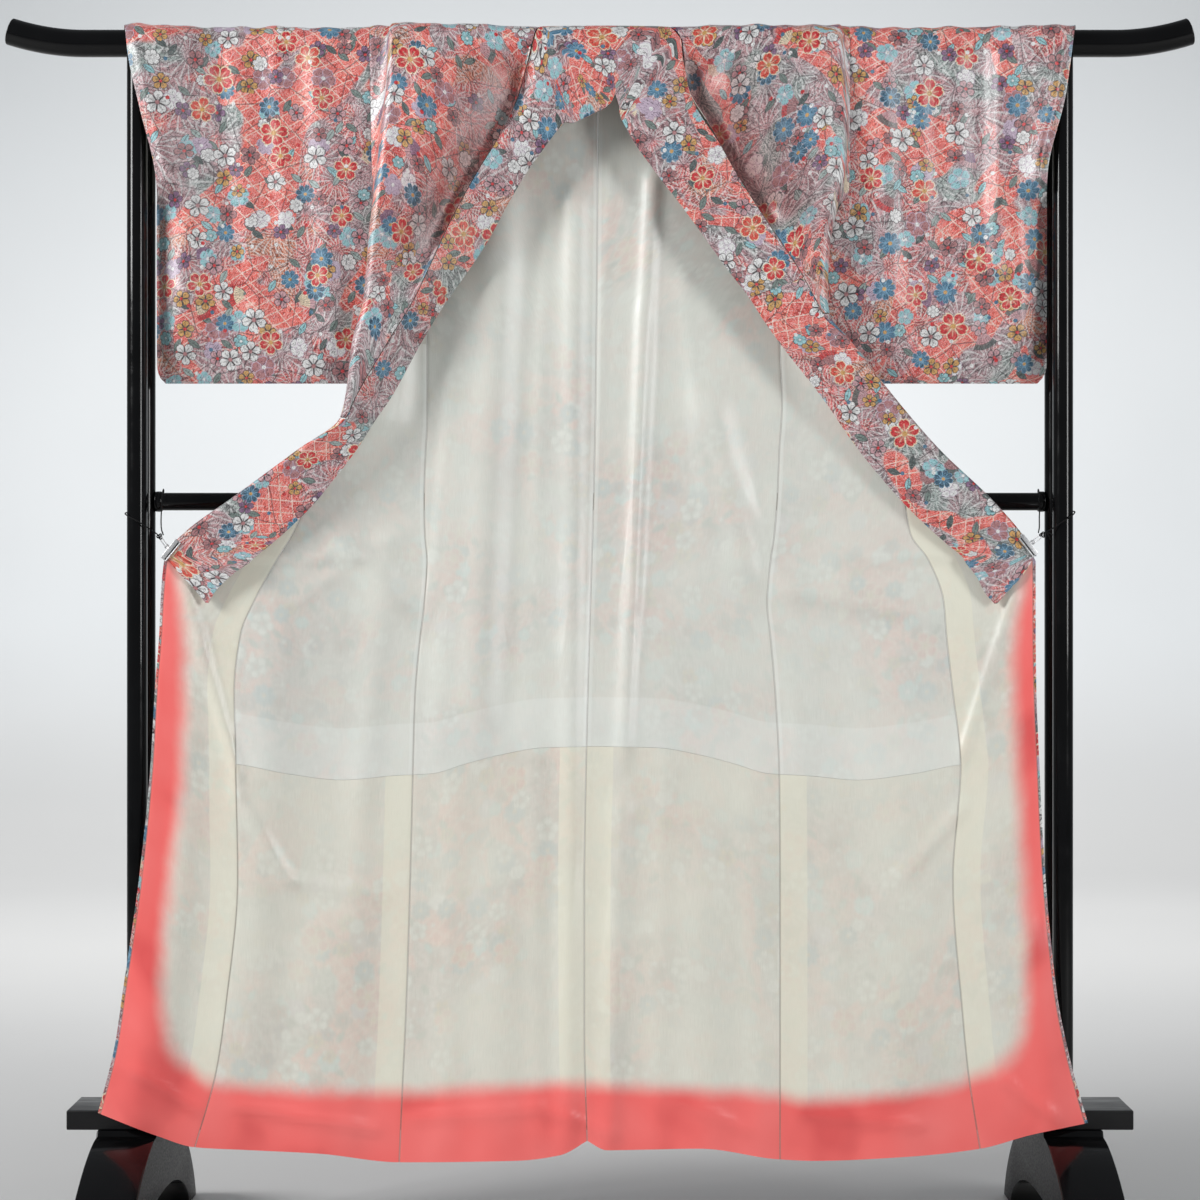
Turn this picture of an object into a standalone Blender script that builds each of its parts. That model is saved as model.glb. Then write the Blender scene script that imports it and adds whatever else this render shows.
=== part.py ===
"""A komon kimono hanging open on a black lacquer kimono rack, seen from the inside of its fronts.

Metres, +Z up. The origin is on the floor under the middle of the rack. +X is to the right as seen
from the front and +Y points away from the front. Left and right are as seen from the front.

The cloth is a set of walls. Each level of the garment is one cut line, from the centre back seam out
to the side seam, on to the fold where the front turns over, and back along the collar. Each sewn
piece is a stretch of that line, followed from level to level.
"""
import math
from functools import lru_cache

import bmesh
import bpy
import numpy as np
from mathutils import Matrix, Vector

# Cloth: wall of one layer, and the gap at a seam and between two layers
CLOTH = 0.0010
SEAM = 0.0003
COLLAR_HALF = 0.00115
COLLAR_SEAM = 0.0011
NECK_SEAM = 0.0016

# The rack
RAIL_RADIUS = 0.019
RAIL_Z = 1.679
RAIL_HALF_LENGTH = 0.826
RAIL_STRAIGHT = 0.72
RAIL_END_RISE = 0.017
POST_RADIUS = 0.014
POST_X = 0.642
POST_Y = RAIL_RADIUS + SEAM + POST_RADIUS
POST_TOP = 1.674
SADDLE_RADIUS = 0.006
MID_RAIL_RADIUS = 0.0125
MID_RAIL_Z = 1.039
MID_RAIL_COLLAR = 0.0145
MID_RAIL_COLLAR_LENGTH = 0.009
BEAM_HALF_LENGTH = 0.737
BEAM_HALF_DEPTH = 0.050
BEAM_BOTTOM = 0.168
BEAM_TOP = 0.195
FOOT_X = 0.653
FOOT_WIDTH = 0.083
POST_DOME = 0.008
# Half of a foot seen from the side: depth and height, from the seat of the beam out to the floor
FOOT_TOP = ((0.0, BEAM_BOTTOM - SEAM), (0.052, BEAM_BOTTOM - SEAM), (0.056, 0.160), (0.080, 0.157),
            (0.110, 0.149), (0.140, 0.138), (0.170, 0.124), (0.200, 0.107), (0.230, 0.085),
            (0.256, 0.060), (0.276, 0.036), (0.290, 0.012), (0.294, 0.0))
FOOT_UNDER = ((0.236, 0.0), (0.214, 0.022), (0.180, 0.042), (0.140, 0.056), (0.090, 0.066),
              (0.040, 0.070), (0.0, 0.071))

# The cloth rides on the rail at this radius, and the outline is read as an eye sees it from the front
DRAPE_RADIUS = RAIL_RADIUS + 0.0008
EYE_DISTANCE = 3.6
EYE_Z = 0.90

# Heights where the sewing changes: end of the armhole, top of the side seam, foot of the collar, hem
ARMHOLE_END = 1.468
SIDE_SEAM_TOP = 1.320
COLLAR_FOOT = 0.956
LINING_SEAM = 0.655
HEM = 0.158
SLEEVE_BOTTOM = 1.204
OVER_COLLAR_END = 1.310
FRONT_LINING_TOP = 1.260
TIP = {"left": 1.151, "right": 1.295}
OUT = {"left": -1.0, "right": 1.0}

# One row for each level of the front: height, side edge and its depth, fold where the front turns
# over and its depth, radius of that fold, and the angle at which the cloth runs into it.
FRONT_COLUMNS = ("z", "side", "side_y", "fold", "fold_y", "roll", "lead")
FRONT = {
    "left": (
        (1.679, 0.323, -0.0198, 0.295, -0.0280, 0.0050, 0.0),
        (1.614, 0.322, -0.0205, 0.298, -0.0350, 0.0090, 0.0),
        (1.561, 0.321, -0.0205, 0.305, -0.0380, 0.0100, 0.0),
        (1.491, 0.319, -0.0200, 0.312, -0.0400, 0.0100, 0.0),
        (1.468, 0.3175, -0.0195, 0.315, -0.0400, 0.0100, 0.0),
        (1.445, 0.311, -0.0160, 0.318, -0.0400, 0.0100, 20.0),
        (1.405, 0.298, -0.0090, 0.323, -0.0400, 0.0100, 50.0),
        (1.362, 0.277, 0.0030, 0.326, -0.0400, 0.0100, 75.0),
        (1.320, 0.255, 0.0165, 0.330, -0.0400, 0.0100, 90.0),
        (1.258, 0.242, 0.0160, 0.346, -0.0390, 0.0090, 90.0),
        (1.180, 0.242, 0.0150, 0.356, -0.0370, 0.0080, 90.0),
        (1.151, 0.242, 0.0148, 0.364, -0.0350, 0.0070, 90.0),
        (1.110, 0.244, 0.0144, 0.420, -0.0320, 0.0060, 90.0),
        (1.040, 0.246, 0.0140, 0.515, -0.0300, 0.0050, 90.0),
        (0.991, 0.245, 0.0115, 0.580, -0.0300, 0.0045, 90.0),
        (0.956, 0.242, 0.0095, 0.609, -0.0310, 0.0035, 90.0),
        (0.894, 0.246, 0.0060, 0.615, -0.0350, 0.0, 90.0),
        (0.844, 0.252, 0.0020, 0.617, -0.0380, 0.0, 90.0),
        (0.760, 0.259, -0.0050, 0.623, -0.0440, 0.0, 90.0),
        (0.655, 0.262, -0.0140, 0.629, -0.0510, 0.0, 90.0),
        (0.508, 0.266, -0.0260, 0.644, -0.0560, 0.0, 90.0),
        (0.340, 0.272, -0.0430, 0.668, -0.0600, 0.0, 90.0),
        (0.263, 0.276, -0.0515, 0.679, -0.0610, 0.0, 90.0),
        (0.158, 0.281, -0.0580, 0.703, -0.0620, 0.0, 90.0),
    ),
    "right": (
        (1.679, 0.350, -0.0198, 0.339, -0.0240, 0.0035, 0.0),
        (1.614, 0.350, -0.0205, 0.343, -0.0270, 0.0050, 0.0),
        (1.561, 0.350, -0.0205, 0.346, -0.0290, 0.0060, 0.0),
        (1.491, 0.349, -0.0200, 0.342, -0.0310, 0.0080, 0.0),
        (1.468, 0.3485, -0.0195, 0.337, -0.0325, 0.0085, 0.0),
        (1.445, 0.3305, -0.0150, 0.332, -0.0340, 0.0090, 10.0),
        (1.405, 0.312, -0.0080, 0.323, -0.0370, 0.0100, 40.0),
        (1.362, 0.2925, 0.0040, 0.319, -0.0390, 0.0100, 70.0),
        (1.320, 0.264, 0.0165, 0.318, -0.0400, 0.0090, 90.0),
        (1.295, 0.255, 0.0163, 0.321, -0.0390, 0.0080, 90.0),
        (1.258, 0.252, 0.0160, 0.351, -0.0370, 0.0070, 90.0),
        (1.180, 0.255, 0.0150, 0.412, -0.0340, 0.0060, 90.0),
        (1.110, 0.251, 0.0144, 0.473, -0.0320, 0.0055, 90.0),
        (1.040, 0.248, 0.0140, 0.546, -0.0300, 0.0050, 90.0),
        (0.991, 0.244, 0.0115, 0.588, -0.0300, 0.0045, 90.0),
        (0.956, 0.239, 0.0095, 0.610, -0.0310, 0.0035, 90.0),
        (0.894, 0.234, 0.0060, 0.610, -0.0350, 0.0, 90.0),
        (0.844, 0.239, 0.0020, 0.610, -0.0380, 0.0, 90.0),
        (0.760, 0.246, -0.0050, 0.611, -0.0440, 0.0, 90.0),
        (0.655, 0.251, -0.0140, 0.615, -0.0510, 0.0, 90.0),
        (0.508, 0.252, -0.0260, 0.623, -0.0560, 0.0, 90.0),
        (0.340, 0.252, -0.0430, 0.640, -0.0600, 0.0, 90.0),
        (0.263, 0.252, -0.0515, 0.655, -0.0610, 0.0, 90.0),
        (0.158, 0.252, -0.0580, 0.683, -0.0620, 0.0, 90.0),
    ),
}

# The seam of the narrow overlap panel, from the point where it starts down to the hem
OKUMI_COLUMNS = ("z", "seam")
OKUMI = {
    "left": (
        (1.151, 0.357), (1.110, 0.378), (1.040, 0.409), (0.991, 0.431), (0.956, 0.452), (0.894, 0.484),
        (0.844, 0.503), (0.760, 0.512), (0.655, 0.510), (0.508, 0.507), (0.340, 0.524),
        (0.263, 0.536), (0.158, 0.567),
    ),
    "right": (
        (1.295, 0.313), (1.258, 0.336), (1.180, 0.377), (1.110, 0.406), (1.040, 0.426), (0.991, 0.435),
        (0.956, 0.459), (0.894, 0.481), (0.844, 0.485), (0.760, 0.494), (0.655, 0.505),
        (0.508, 0.494), (0.340, 0.507), (0.263, 0.515), (0.158, 0.532),
    ),
}

# The collar on the fronts: height, seam, depth of the seam, free edge and its depth. Below the tip
# the collar starts on the fold itself, part of the way round it, which is the column turn.
COLLAR_COLUMNS = ("z", "seam", "seam_y", "edge", "edge_y", "turn")
COLLAR = {
    "left": (
        (1.679, 0.094, -0.0240, 0.030, -0.0240, 0.0),
        (1.614, 0.111, -0.0270, 0.045, -0.0260, 0.0),
        (1.561, 0.132, -0.0310, 0.059, -0.0270, 0.0),
        (1.491, 0.174, -0.0350, 0.105, -0.0240, 0.0),
        (1.446, 0.199, -0.0380, 0.132, -0.0220, 0.0),
        (1.404, 0.220, -0.0410, 0.155, -0.0190, 0.0),
        (1.362, 0.239, -0.0430, 0.183, -0.0160, 0.0),
        (1.320, 0.259, -0.0450, 0.213, -0.0130, 0.0),
        (1.258, 0.297, -0.0460, 0.251, -0.0120, 0.0),
        (1.180, 0.343, -0.0450, 0.294, -0.0180, 0.0),
        (1.151, 0.357, -0.0420, 0.314, -0.0220, 0.0),
        (1.110, 0.414, -0.0380, 0.340, -0.0240, 0.6),
        (1.060, 0.484, -0.0360, 0.379, -0.0240, 1.0),
        (1.040, 0.510, -0.0350, 0.395, -0.0240, 1.0),
        (0.991, 0.575, -0.0345, 0.444, -0.0260, 1.0),
        (0.956, 0.605, -0.0345, 0.484, -0.0300, 1.0),
    ),
    "right": (
        (1.679, 0.115, -0.0240, 0.010, -0.0240, 0.0),
        (1.614, 0.123, -0.0270, 0.020, -0.0270, 0.0),
        (1.561, 0.153, -0.0310, 0.034, -0.0290, 0.0),
        (1.491, 0.192, -0.0350, 0.080, -0.0300, 0.0),
        (1.446, 0.220, -0.0380, 0.115, -0.0300, 0.0),
        (1.404, 0.248, -0.0420, 0.146, -0.0300, 0.0),
        (1.362, 0.276, -0.0450, 0.176, -0.0300, 0.0),
        (1.320, 0.300, -0.0470, 0.209, -0.0290, 0.0),
        (1.295, 0.313, -0.0470, 0.225, -0.0280, 0.0),
        (1.258, 0.344, -0.0440, 0.251, -0.0260, 0.45),
        (1.180, 0.406, -0.0400, 0.312, -0.0240, 1.0),
        (1.110, 0.467, -0.0375, 0.361, -0.0230, 1.0),
        (1.040, 0.541, -0.0350, 0.420, -0.0250, 1.0),
        (0.991, 0.583, -0.0345, 0.469, -0.0270, 1.0),
        (0.956, 0.606, -0.0345, 0.508, -0.0310, 1.0),
    ),
}

# Cut end of the collar below its foot: height, start and end of the cloth that is left
COLLAR_END_COLUMNS = ("z", "start", "edge", "depth")
COLLAR_END = {
    "left": ((0.938, 0.590, 0.511, -0.0370), (0.915, 0.568, 0.536, -0.0385),
             (0.896, 0.552, 0.548, -0.0395)),
    "right": ((0.931, 0.589, 0.528, -0.0375), (0.911, 0.570, 0.538, -0.0385),
              (0.895, 0.556, 0.552, -0.0395)),
}

# The neck, from the front of one side up over the rail to the centre back: angle of the collar seam
# round the rail (90 in front, 0 on top, below 0 behind), its distance out, and the free edge below
NECK_COLUMNS = ("angle", "seam", "edge_x", "edge_z")
NECK = {
    "left": (
        (90.0, 0.094, 0.035, 1.564), (67.5, 0.092, 0.024, 1.569), (45.0, 0.089, 0.015, 1.573),
        (22.5, 0.086, 0.006, 1.578), (0.0, 0.084, -0.003, 1.582), (-11.25, 0.073, -0.011, 1.587),
        (-22.5, 0.045, -0.017, 1.594), (-30.0, 0.0, -0.021, 1.604),
    ),
    "right": (
        (90.0, 0.115, 0.031, 1.566), (67.5, 0.110, 0.029, 1.571), (45.0, 0.104, 0.028, 1.575),
        (22.5, 0.098, 0.027, 1.580), (0.0, 0.092, 0.027, 1.585), (-11.25, 0.078, 0.0255, 1.590),
        (-22.5, 0.047, 0.024, 1.596), (-30.0, 0.0, 0.021, 1.604),
    ),
}
NECK_BACK_ANGLE = -30.0

# Side edge of the back above the side seam
BACK_SIDE_COLUMNS = ("z", "side", "side_y")
BACK_SIDE = {
    "left": (
        (1.679, 0.318, 0.0198), (1.561, 0.317, 0.0200), (1.468, 0.315, 0.0200), (1.405, 0.294, 0.0190),
        (1.362, 0.273, 0.0180), (1.320, 0.255, 0.0165),
    ),
    "right": (
        (1.679, 0.345, 0.0198), (1.561, 0.344, 0.0200), (1.468, 0.342, 0.0200), (1.405, 0.316, 0.0190),
        (1.362, 0.290, 0.0180), (1.320, 0.264, 0.0165),
    ),
}

# The centre back seam wanders a little; x as seen from the front
CENTRE_COLUMNS = ("z", "x")
CENTRE = (
    (1.700, -0.002), (1.180, -0.006), (0.965, -0.011), (0.820, -0.015), (0.655, -0.019),
    (0.478, -0.022), (0.300, -0.022), (0.158, -0.018),
)

# Depth of the back: behind the rail at the top, in front of the mid rail, in front of the base beam
LEAN_COLUMNS = ("z", "y")
LEAN = (
    (1.700, 0.0198), (1.550, 0.0195), (1.320, 0.0165), (1.040, 0.0140), (0.894, 0.0060),
    (0.760, -0.0050), (0.655, -0.0140), (0.508, -0.0260), (0.340, -0.0430), (0.263, -0.0515),
    (0.205, -0.0568), (0.158, -0.0580),
)

# Levels of the cloth sag between the seams: how far the hem and the lining seam lie off their level
HEM_DROP_COLUMNS = ("out", "drop")
HEM_DROP = {
    "left": (
        (0.018, -0.015), (0.056, -0.035), (0.120, -0.043), (0.280, -0.045), (0.392, -0.033),
        (0.490, -0.028), (0.567, -0.024), (0.620, -0.008), (0.703, 0.024),
    ),
    "right": (
        (-0.018, -0.015), (0.010, -0.028), (0.140, -0.026), (0.252, -0.041), (0.300, -0.043),
        (0.420, -0.038), (0.532, -0.026), (0.602, -0.007), (0.683, 0.010),
    ),
}
SEAM_DROP_COLUMNS = ("out", "drop")
SEAM_DROP = (
    (0.0, 0.040), (0.080, 0.038), (0.140, 0.028), (0.190, 0.015), (0.235, 0.002), (0.290, -0.001),
    (0.360, -0.007), (0.440, 0.002), (0.510, 0.015), (0.620, 0.020),
)
SAG_TOP = 1.10

# The largest folds of the opened cloth, each along a line from (x1, z1) to (x2, z2): half width, and
# how far the ridge stands out to the front
FOLD_COLUMNS = ("x1", "z1", "x2", "z2", "half_width", "height")
FOLDS = (
    (-0.140, 1.46, -0.175, 0.76, 0.034, 0.0100),
    (-0.098, 1.36, -0.126, 0.76, 0.022, -0.0035),
    (-0.034, 1.45, -0.046, 0.16, 0.018, 0.0070),
    (0.073, 1.48, 0.034, 0.70, 0.016, 0.0070),
    (0.030, 0.60, 0.012, 0.15, 0.016, 0.0070),
    (0.105, 1.24, 0.100, 0.95, 0.028, -0.0035),
    (0.161, 1.15, 0.203, 0.956, 0.028, 0.0100),
    (0.285, 0.914, 0.406, 0.892, 0.018, 0.0100),
    (-0.350, 0.965, -0.285, 0.900, 0.018, 0.0090),
    (-0.455, 0.82, -0.490, 0.30, 0.040, 0.0090),
    (0.420, 0.80, 0.440, 0.30, 0.040, 0.0090),
    (-0.380, 0.40, -0.400, 0.12, 0.045, 0.0110),
    (-0.140, 0.45, -0.150, 0.12, 0.045, 0.0100),
    (0.140, 0.45, 0.150, 0.12, 0.045, 0.0100),
    (0.390, 0.42, 0.410, 0.13, 0.045, 0.0110),
    (-0.625, 0.36, -0.650, 0.18, 0.028, 0.0100),
    (0.605, 0.40, 0.630, 0.17, 0.028, 0.0100),
)

# The sleeve: outer edge, half of the distance between its two layers, and the swell over the posts
CUFF_COLUMNS = ("z", "out")
CUFF = {
    "left": ((1.700, 0.666), (1.656, 0.661), (1.579, 0.644), (1.488, 0.622), (1.465, 0.620),
             (1.228, 0.620), (1.213, 0.617), (1.204, 0.608)),
    "right": ((1.700, 0.666), (1.656, 0.660), (1.600, 0.652), (1.488, 0.626), (1.465, 0.625),
              (1.228, 0.625), (1.213, 0.621), (1.204, 0.612)),
}
SLEEVE_DEPTH_COLUMNS = ("z", "half")
SLEEVE_DEPTH = ((1.700, 0.0198), (1.600, 0.0200), (1.450, 0.0180), (1.320, 0.0130), (1.240, 0.0070),
                (1.208, 0.0030))
SWELL_COLUMNS = ("z", "centre", "rise")
SWELL = ((1.700, 0.622, 0.0305), (1.600, 0.622, 0.0305), (1.488, 0.618, 0.0300), (1.400, 0.600, 0.0160),
         (1.278, 0.574, 0.0060), (1.204, 0.560, 0.0))
SWELL_LENGTH = 0.10
SWELL_FLATNESS = 0.35
CUFF_OPENING_END = 1.475
CUFF_CLOSING_HEIGHT = 0.030
CUFF_CLOSING_LENGTH = 0.045
CUFF_CLOSED_HALF = 0.0003
FURI_CLEARANCE = 0.003

# Free inner edge of the sleeve's front layer, which swings in behind the fold of the body
FURI_COLUMNS = ("z", "out")
FURI = {
    "left": ((1.468, 0.318), (1.445, 0.3165), (1.405, 0.3185), (1.320, 0.320), (1.204, 0.3206)),
    "right": ((1.468, 0.349), (1.445, 0.3340), (1.400, 0.3210), (1.362, 0.317), (1.320, 0.316),
              (1.204, 0.318)),
}

# How finely the solids follow the cloth
RAIL_ANGLES = (67.0, 45.0, 22.5, 0.0, -22.5, -45.0, -67.0)
BODY_ANGLES = (67.5, 45.0, 22.5, 0.0, -11.25, -22.5, -30.0, -48.0, -69.0)
ARMHOLE_LEVELS = (1.679, 1.650, 1.592, 1.530, 1.468)
OPEN_LEVELS = (1.445, 1.405, 1.362, 1.320)
LOWER_LEVELS = (0.894, 0.815, 0.735, 0.655, 0.535, 0.415, 0.300, 0.158)
FOLD_LEVELS = {
    "left": (1.258, 1.200, 1.153, 1.139, 1.110, 1.050, 0.996, 0.956),
    "right": (1.297, 1.283, 1.262, 1.219, 1.160, 1.090, 1.020, 0.956),
}
TIP_RISE = 0.002
SLEEVE_SHARES = (0.0, 0.25, 0.5, 0.65, 0.76, 0.85, 0.93, 1.0)
SLEEVE_LEVELS = ARMHOLE_LEVELS + (1.445, 1.400, 1.320, 1.240, 1.210)
BEHIND_FOLD = 6
ROUND_FOLD = 3
AFTER_FOLD = 1
BODY_COLUMNS = BEHIND_FOLD + ROUND_FOLD + AFTER_FOLD
OKUMI_COLUMNS_WIDE = 4
COLLAR_WIDE = 7
COLLAR_END_FROM = ROUND_FOLD / COLLAR_WIDE
LINE_POINTS = 60
BACK_POINTS = 80
TURN_POINTS = 16
OVER_POINTS = 19
TANGENT_STEP = 0.003
LEVEL_STEP = 0.006
JUST_ABOVE = 1e-6

# Rows of the collar between the front and the neck: height of the seam, share of the way to the front's
# free edge, and how far the collar stands off the line of the front
NECK_FOOT = ((1.592, 0.75, 0.0070), (1.650, 0.30, 0.0055))
NECK_FOOT_EDGE = {"left": (0.058, 1.560), "right": (0.034, 1.560)}
NECK_LIFT = 0.0042
NECK_LIFT_RISE = 2.5
NECK_ON_RAIL = 5
PLEAT_FADE = 1.5

# Clips and cords that hold the fronts open
CLIP_LENGTH = 0.033
CLIP_WALL = 0.0012
CLIP_REACH = 0.0065
CLIP_SLACK = 0.0005
CLIP_CENTRE = {"left": 0.970, "right": 0.976}
RING_RADIUS = 0.0026
RING_WIRE = 0.0008
CORD_RADIUS = 0.0009
CORD_STEP = 0.0075
# Route of each cord: from the ring, across the front post, round both posts, up behind the rear post,
# over the mid rail and back down to the ring. Distances out, depths and heights.
CORD_ROUTE = {
    "left": (
        (0.6105, -0.0330, 0.9880), (0.6150, -0.0390, 0.9925), (0.6250, -0.0470, 1.0000),
        (0.6360, -0.0500, 1.0075), (0.6475, -0.0492, 1.0135), (0.6560, -0.0425, 1.0180),
        (0.6585, -0.0330, 1.0205), (0.6588, -0.0050, 1.0225), (0.6588, 0.0250, 1.0250),
        (0.6560, 0.0400, 1.0280), (0.6470, 0.0485, 1.0310), (0.6360, 0.0510, 1.0350),
        (0.6255, 0.0500, 1.0400), (0.6195, 0.0475, 1.0475), (0.6175, 0.0400, 1.0550),
        (0.6165, 0.0300, 1.0560), (0.6160, 0.0195, 1.0500), (0.6160, 0.0160, 1.0400),
        (0.6160, 0.0120, 1.0270), (0.6145, 0.0000, 1.0120), (0.6115, -0.0150, 0.9990),
        (0.6075, -0.0265, 0.9925), (0.6062, -0.0315, 0.9905),
    ),
    "right": (
        (0.6135, -0.0330, 0.9905), (0.6180, -0.0390, 0.9940), (0.6270, -0.0470, 1.0000),
        (0.6360, -0.0500, 1.0060), (0.6475, -0.0492, 1.0140), (0.6560, -0.0425, 1.0195),
        (0.6585, -0.0330, 1.0225), (0.6588, -0.0050, 1.0245), (0.6588, 0.0250, 1.0270),
        (0.6560, 0.0400, 1.0290), (0.6470, 0.0485, 1.0315), (0.6360, 0.0510, 1.0350),
        (0.6255, 0.0500, 1.0400), (0.6215, 0.0475, 1.0475), (0.6200, 0.0400, 1.0550),
        (0.6190, 0.0300, 1.0560), (0.6180, 0.0195, 1.0500), (0.6180, 0.0160, 1.0400),
        (0.6175, 0.0120, 1.0270), (0.6150, 0.0000, 1.0140), (0.6125, -0.0150, 1.0010),
        (0.6095, -0.0265, 0.9955), (0.6085, -0.0315, 0.9935),
    ),
}

# Colours
CORAL = (0.72, 0.20, 0.16)
CREAM = (0.72, 0.71, 0.62)
WHITE_SILK = (0.76, 0.78, 0.74)
LACQUER = (0.006, 0.006, 0.007)
STEEL = (0.70, 0.70, 0.72)
CORD_BLACK = (0.01, 0.01, 0.01)

TABLES = {
    "front_left": (FRONT_COLUMNS, FRONT["left"]), "front_right": (FRONT_COLUMNS, FRONT["right"]),
    "okumi_left": (OKUMI_COLUMNS, OKUMI["left"]), "okumi_right": (OKUMI_COLUMNS, OKUMI["right"]),
    "collar_left": (COLLAR_COLUMNS, COLLAR["left"]), "collar_right": (COLLAR_COLUMNS, COLLAR["right"]),
    "neck_left": (NECK_COLUMNS, NECK["left"]), "neck_right": (NECK_COLUMNS, NECK["right"]),
    "back_left": (BACK_SIDE_COLUMNS, BACK_SIDE["left"]),
    "back_right": (BACK_SIDE_COLUMNS, BACK_SIDE["right"]),
    "hem_left": (HEM_DROP_COLUMNS, HEM_DROP["left"]), "hem_right": (HEM_DROP_COLUMNS, HEM_DROP["right"]),
    "cuff_left": (CUFF_COLUMNS, CUFF["left"]), "cuff_right": (CUFF_COLUMNS, CUFF["right"]),
    "furi_left": (FURI_COLUMNS, FURI["left"]), "furi_right": (FURI_COLUMNS, FURI["right"]),
    "centre": (CENTRE_COLUMNS, CENTRE), "lean": (LEAN_COLUMNS, LEAN),
    "lining_seam": (SEAM_DROP_COLUMNS, SEAM_DROP), "sleeve_depth": (SLEEVE_DEPTH_COLUMNS, SLEEVE_DEPTH),
    "swell": (SWELL_COLUMNS, SWELL),
}


# Smooth curves through the tables
@lru_cache(maxsize=None)
def curve_through(table, column):
    """Sorted places, values and slopes of one column; the slopes keep the curve from overshooting."""
    names, rows = TABLES[table]
    data = np.array(sorted(rows), dtype=float)
    place, value = data[:, 0], data[:, names.index(column)]
    step = np.diff(place)
    rise = np.diff(value) / step
    slope = np.zeros(len(place))
    for i in range(1, len(place) - 1):
        if rise[i - 1] * rise[i] > 0.0:
            before, after = 2 * step[i] + step[i - 1], step[i] + 2 * step[i - 1]
            slope[i] = (before + after) / (before / rise[i - 1] + after / rise[i])
    slope[0], slope[-1] = rise[0], rise[-1]
    return place, value, slope


def read(table, column, at):
    """Value of a column where the table's first column is `at` (a number or an array)."""
    place, value, slope = curve_through(table, column)
    at = np.clip(at, place[0], place[-1])
    i = np.clip(np.searchsorted(place, at) - 1, 0, len(place) - 2)
    step = place[i + 1] - place[i]
    t = (at - place[i]) / step
    return ((1 + 2 * t) * (1 - t) ** 2 * value[i] + t * (1 - t) ** 2 * step * slope[i]
            + t * t * (3 - 2 * t) * value[i + 1] + t * t * (t - 1) * step * slope[i + 1])


def ease(t):
    """Smooth step from 0 to 1."""
    t = np.clip(t, 0.0, 1.0)
    return t * t * (3 - 2 * t)


# Cut lines of the cloth, in distance out from the middle, depth and height
def folds_at(x, z):
    """How far the largest folds push the cloth to the front at a place seen from the front."""
    total = np.zeros_like(x)
    for x1, z1, x2, z2, half_width, height in FOLDS:
        run = np.array((x2 - x1, z2 - z1))
        length = np.hypot(*run)
        along = ((x - x1) * run[0] + (z - z1) * run[1]) / length
        across = ((x - x1) * run[1] - (z - z1) * run[0]) / length
        past = np.maximum(0.0, np.maximum(-along, along - length))
        fade = np.exp(-(past / (2.0 * half_width)) ** 2)
        total += height * np.exp(-(across / half_width) ** 2) * fade
    return total


def level_heights(side, z, out):
    """Heights of one level of the cloth, which sags between the seams and follows the hem."""
    lower = np.clip((LINING_SEAM - z) / (LINING_SEAM - HEM), 0.0, 1.0)
    upper = np.clip((z - LINING_SEAM) / (SAG_TOP - LINING_SEAM), 0.0, 1.0)
    sag = (1.0 - lower) * (1.0 - ease(upper)) * read("lining_seam", "drop", out)
    return z + sag + lower * read("hem_" + side, "drop", out)


def side_edge(side, z, table):
    return float(read(table + side, "side", z)), float(read(table + side, "side_y", z))


def back_side(side, z):
    if z >= SIDE_SEAM_TOP:
        return side_edge(side, z, "back_")
    return float(read("front_" + side, "side", z)), float(read("lean", "y", z))


def front_side(side, z):
    x, y = side_edge(side, z, "front_")
    return (x, y) if z >= SIDE_SEAM_TOP else (x, float(read("lean", "y", z)))


def opened(side, out, y, z):
    """Points of the opened cloth, with its sag and its folds."""
    heights = level_heights(side, z, out)
    return np.column_stack((out, y - folds_at(OUT[side] * out, heights), heights))


@lru_cache(maxsize=None)
def back_line(side, z):
    """Cut of the back from the centre seam out to the side."""
    centre = OUT[side] * float(read("centre", "x", z))
    edge, edge_y = back_side(side, z)
    t = np.linspace(0.0, 1.0, BACK_POINTS)
    depth = float(read("lean", "y", z))
    return opened(side, centre + (edge - centre) * t, depth + (edge_y - depth) * ease(t), z)


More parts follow.
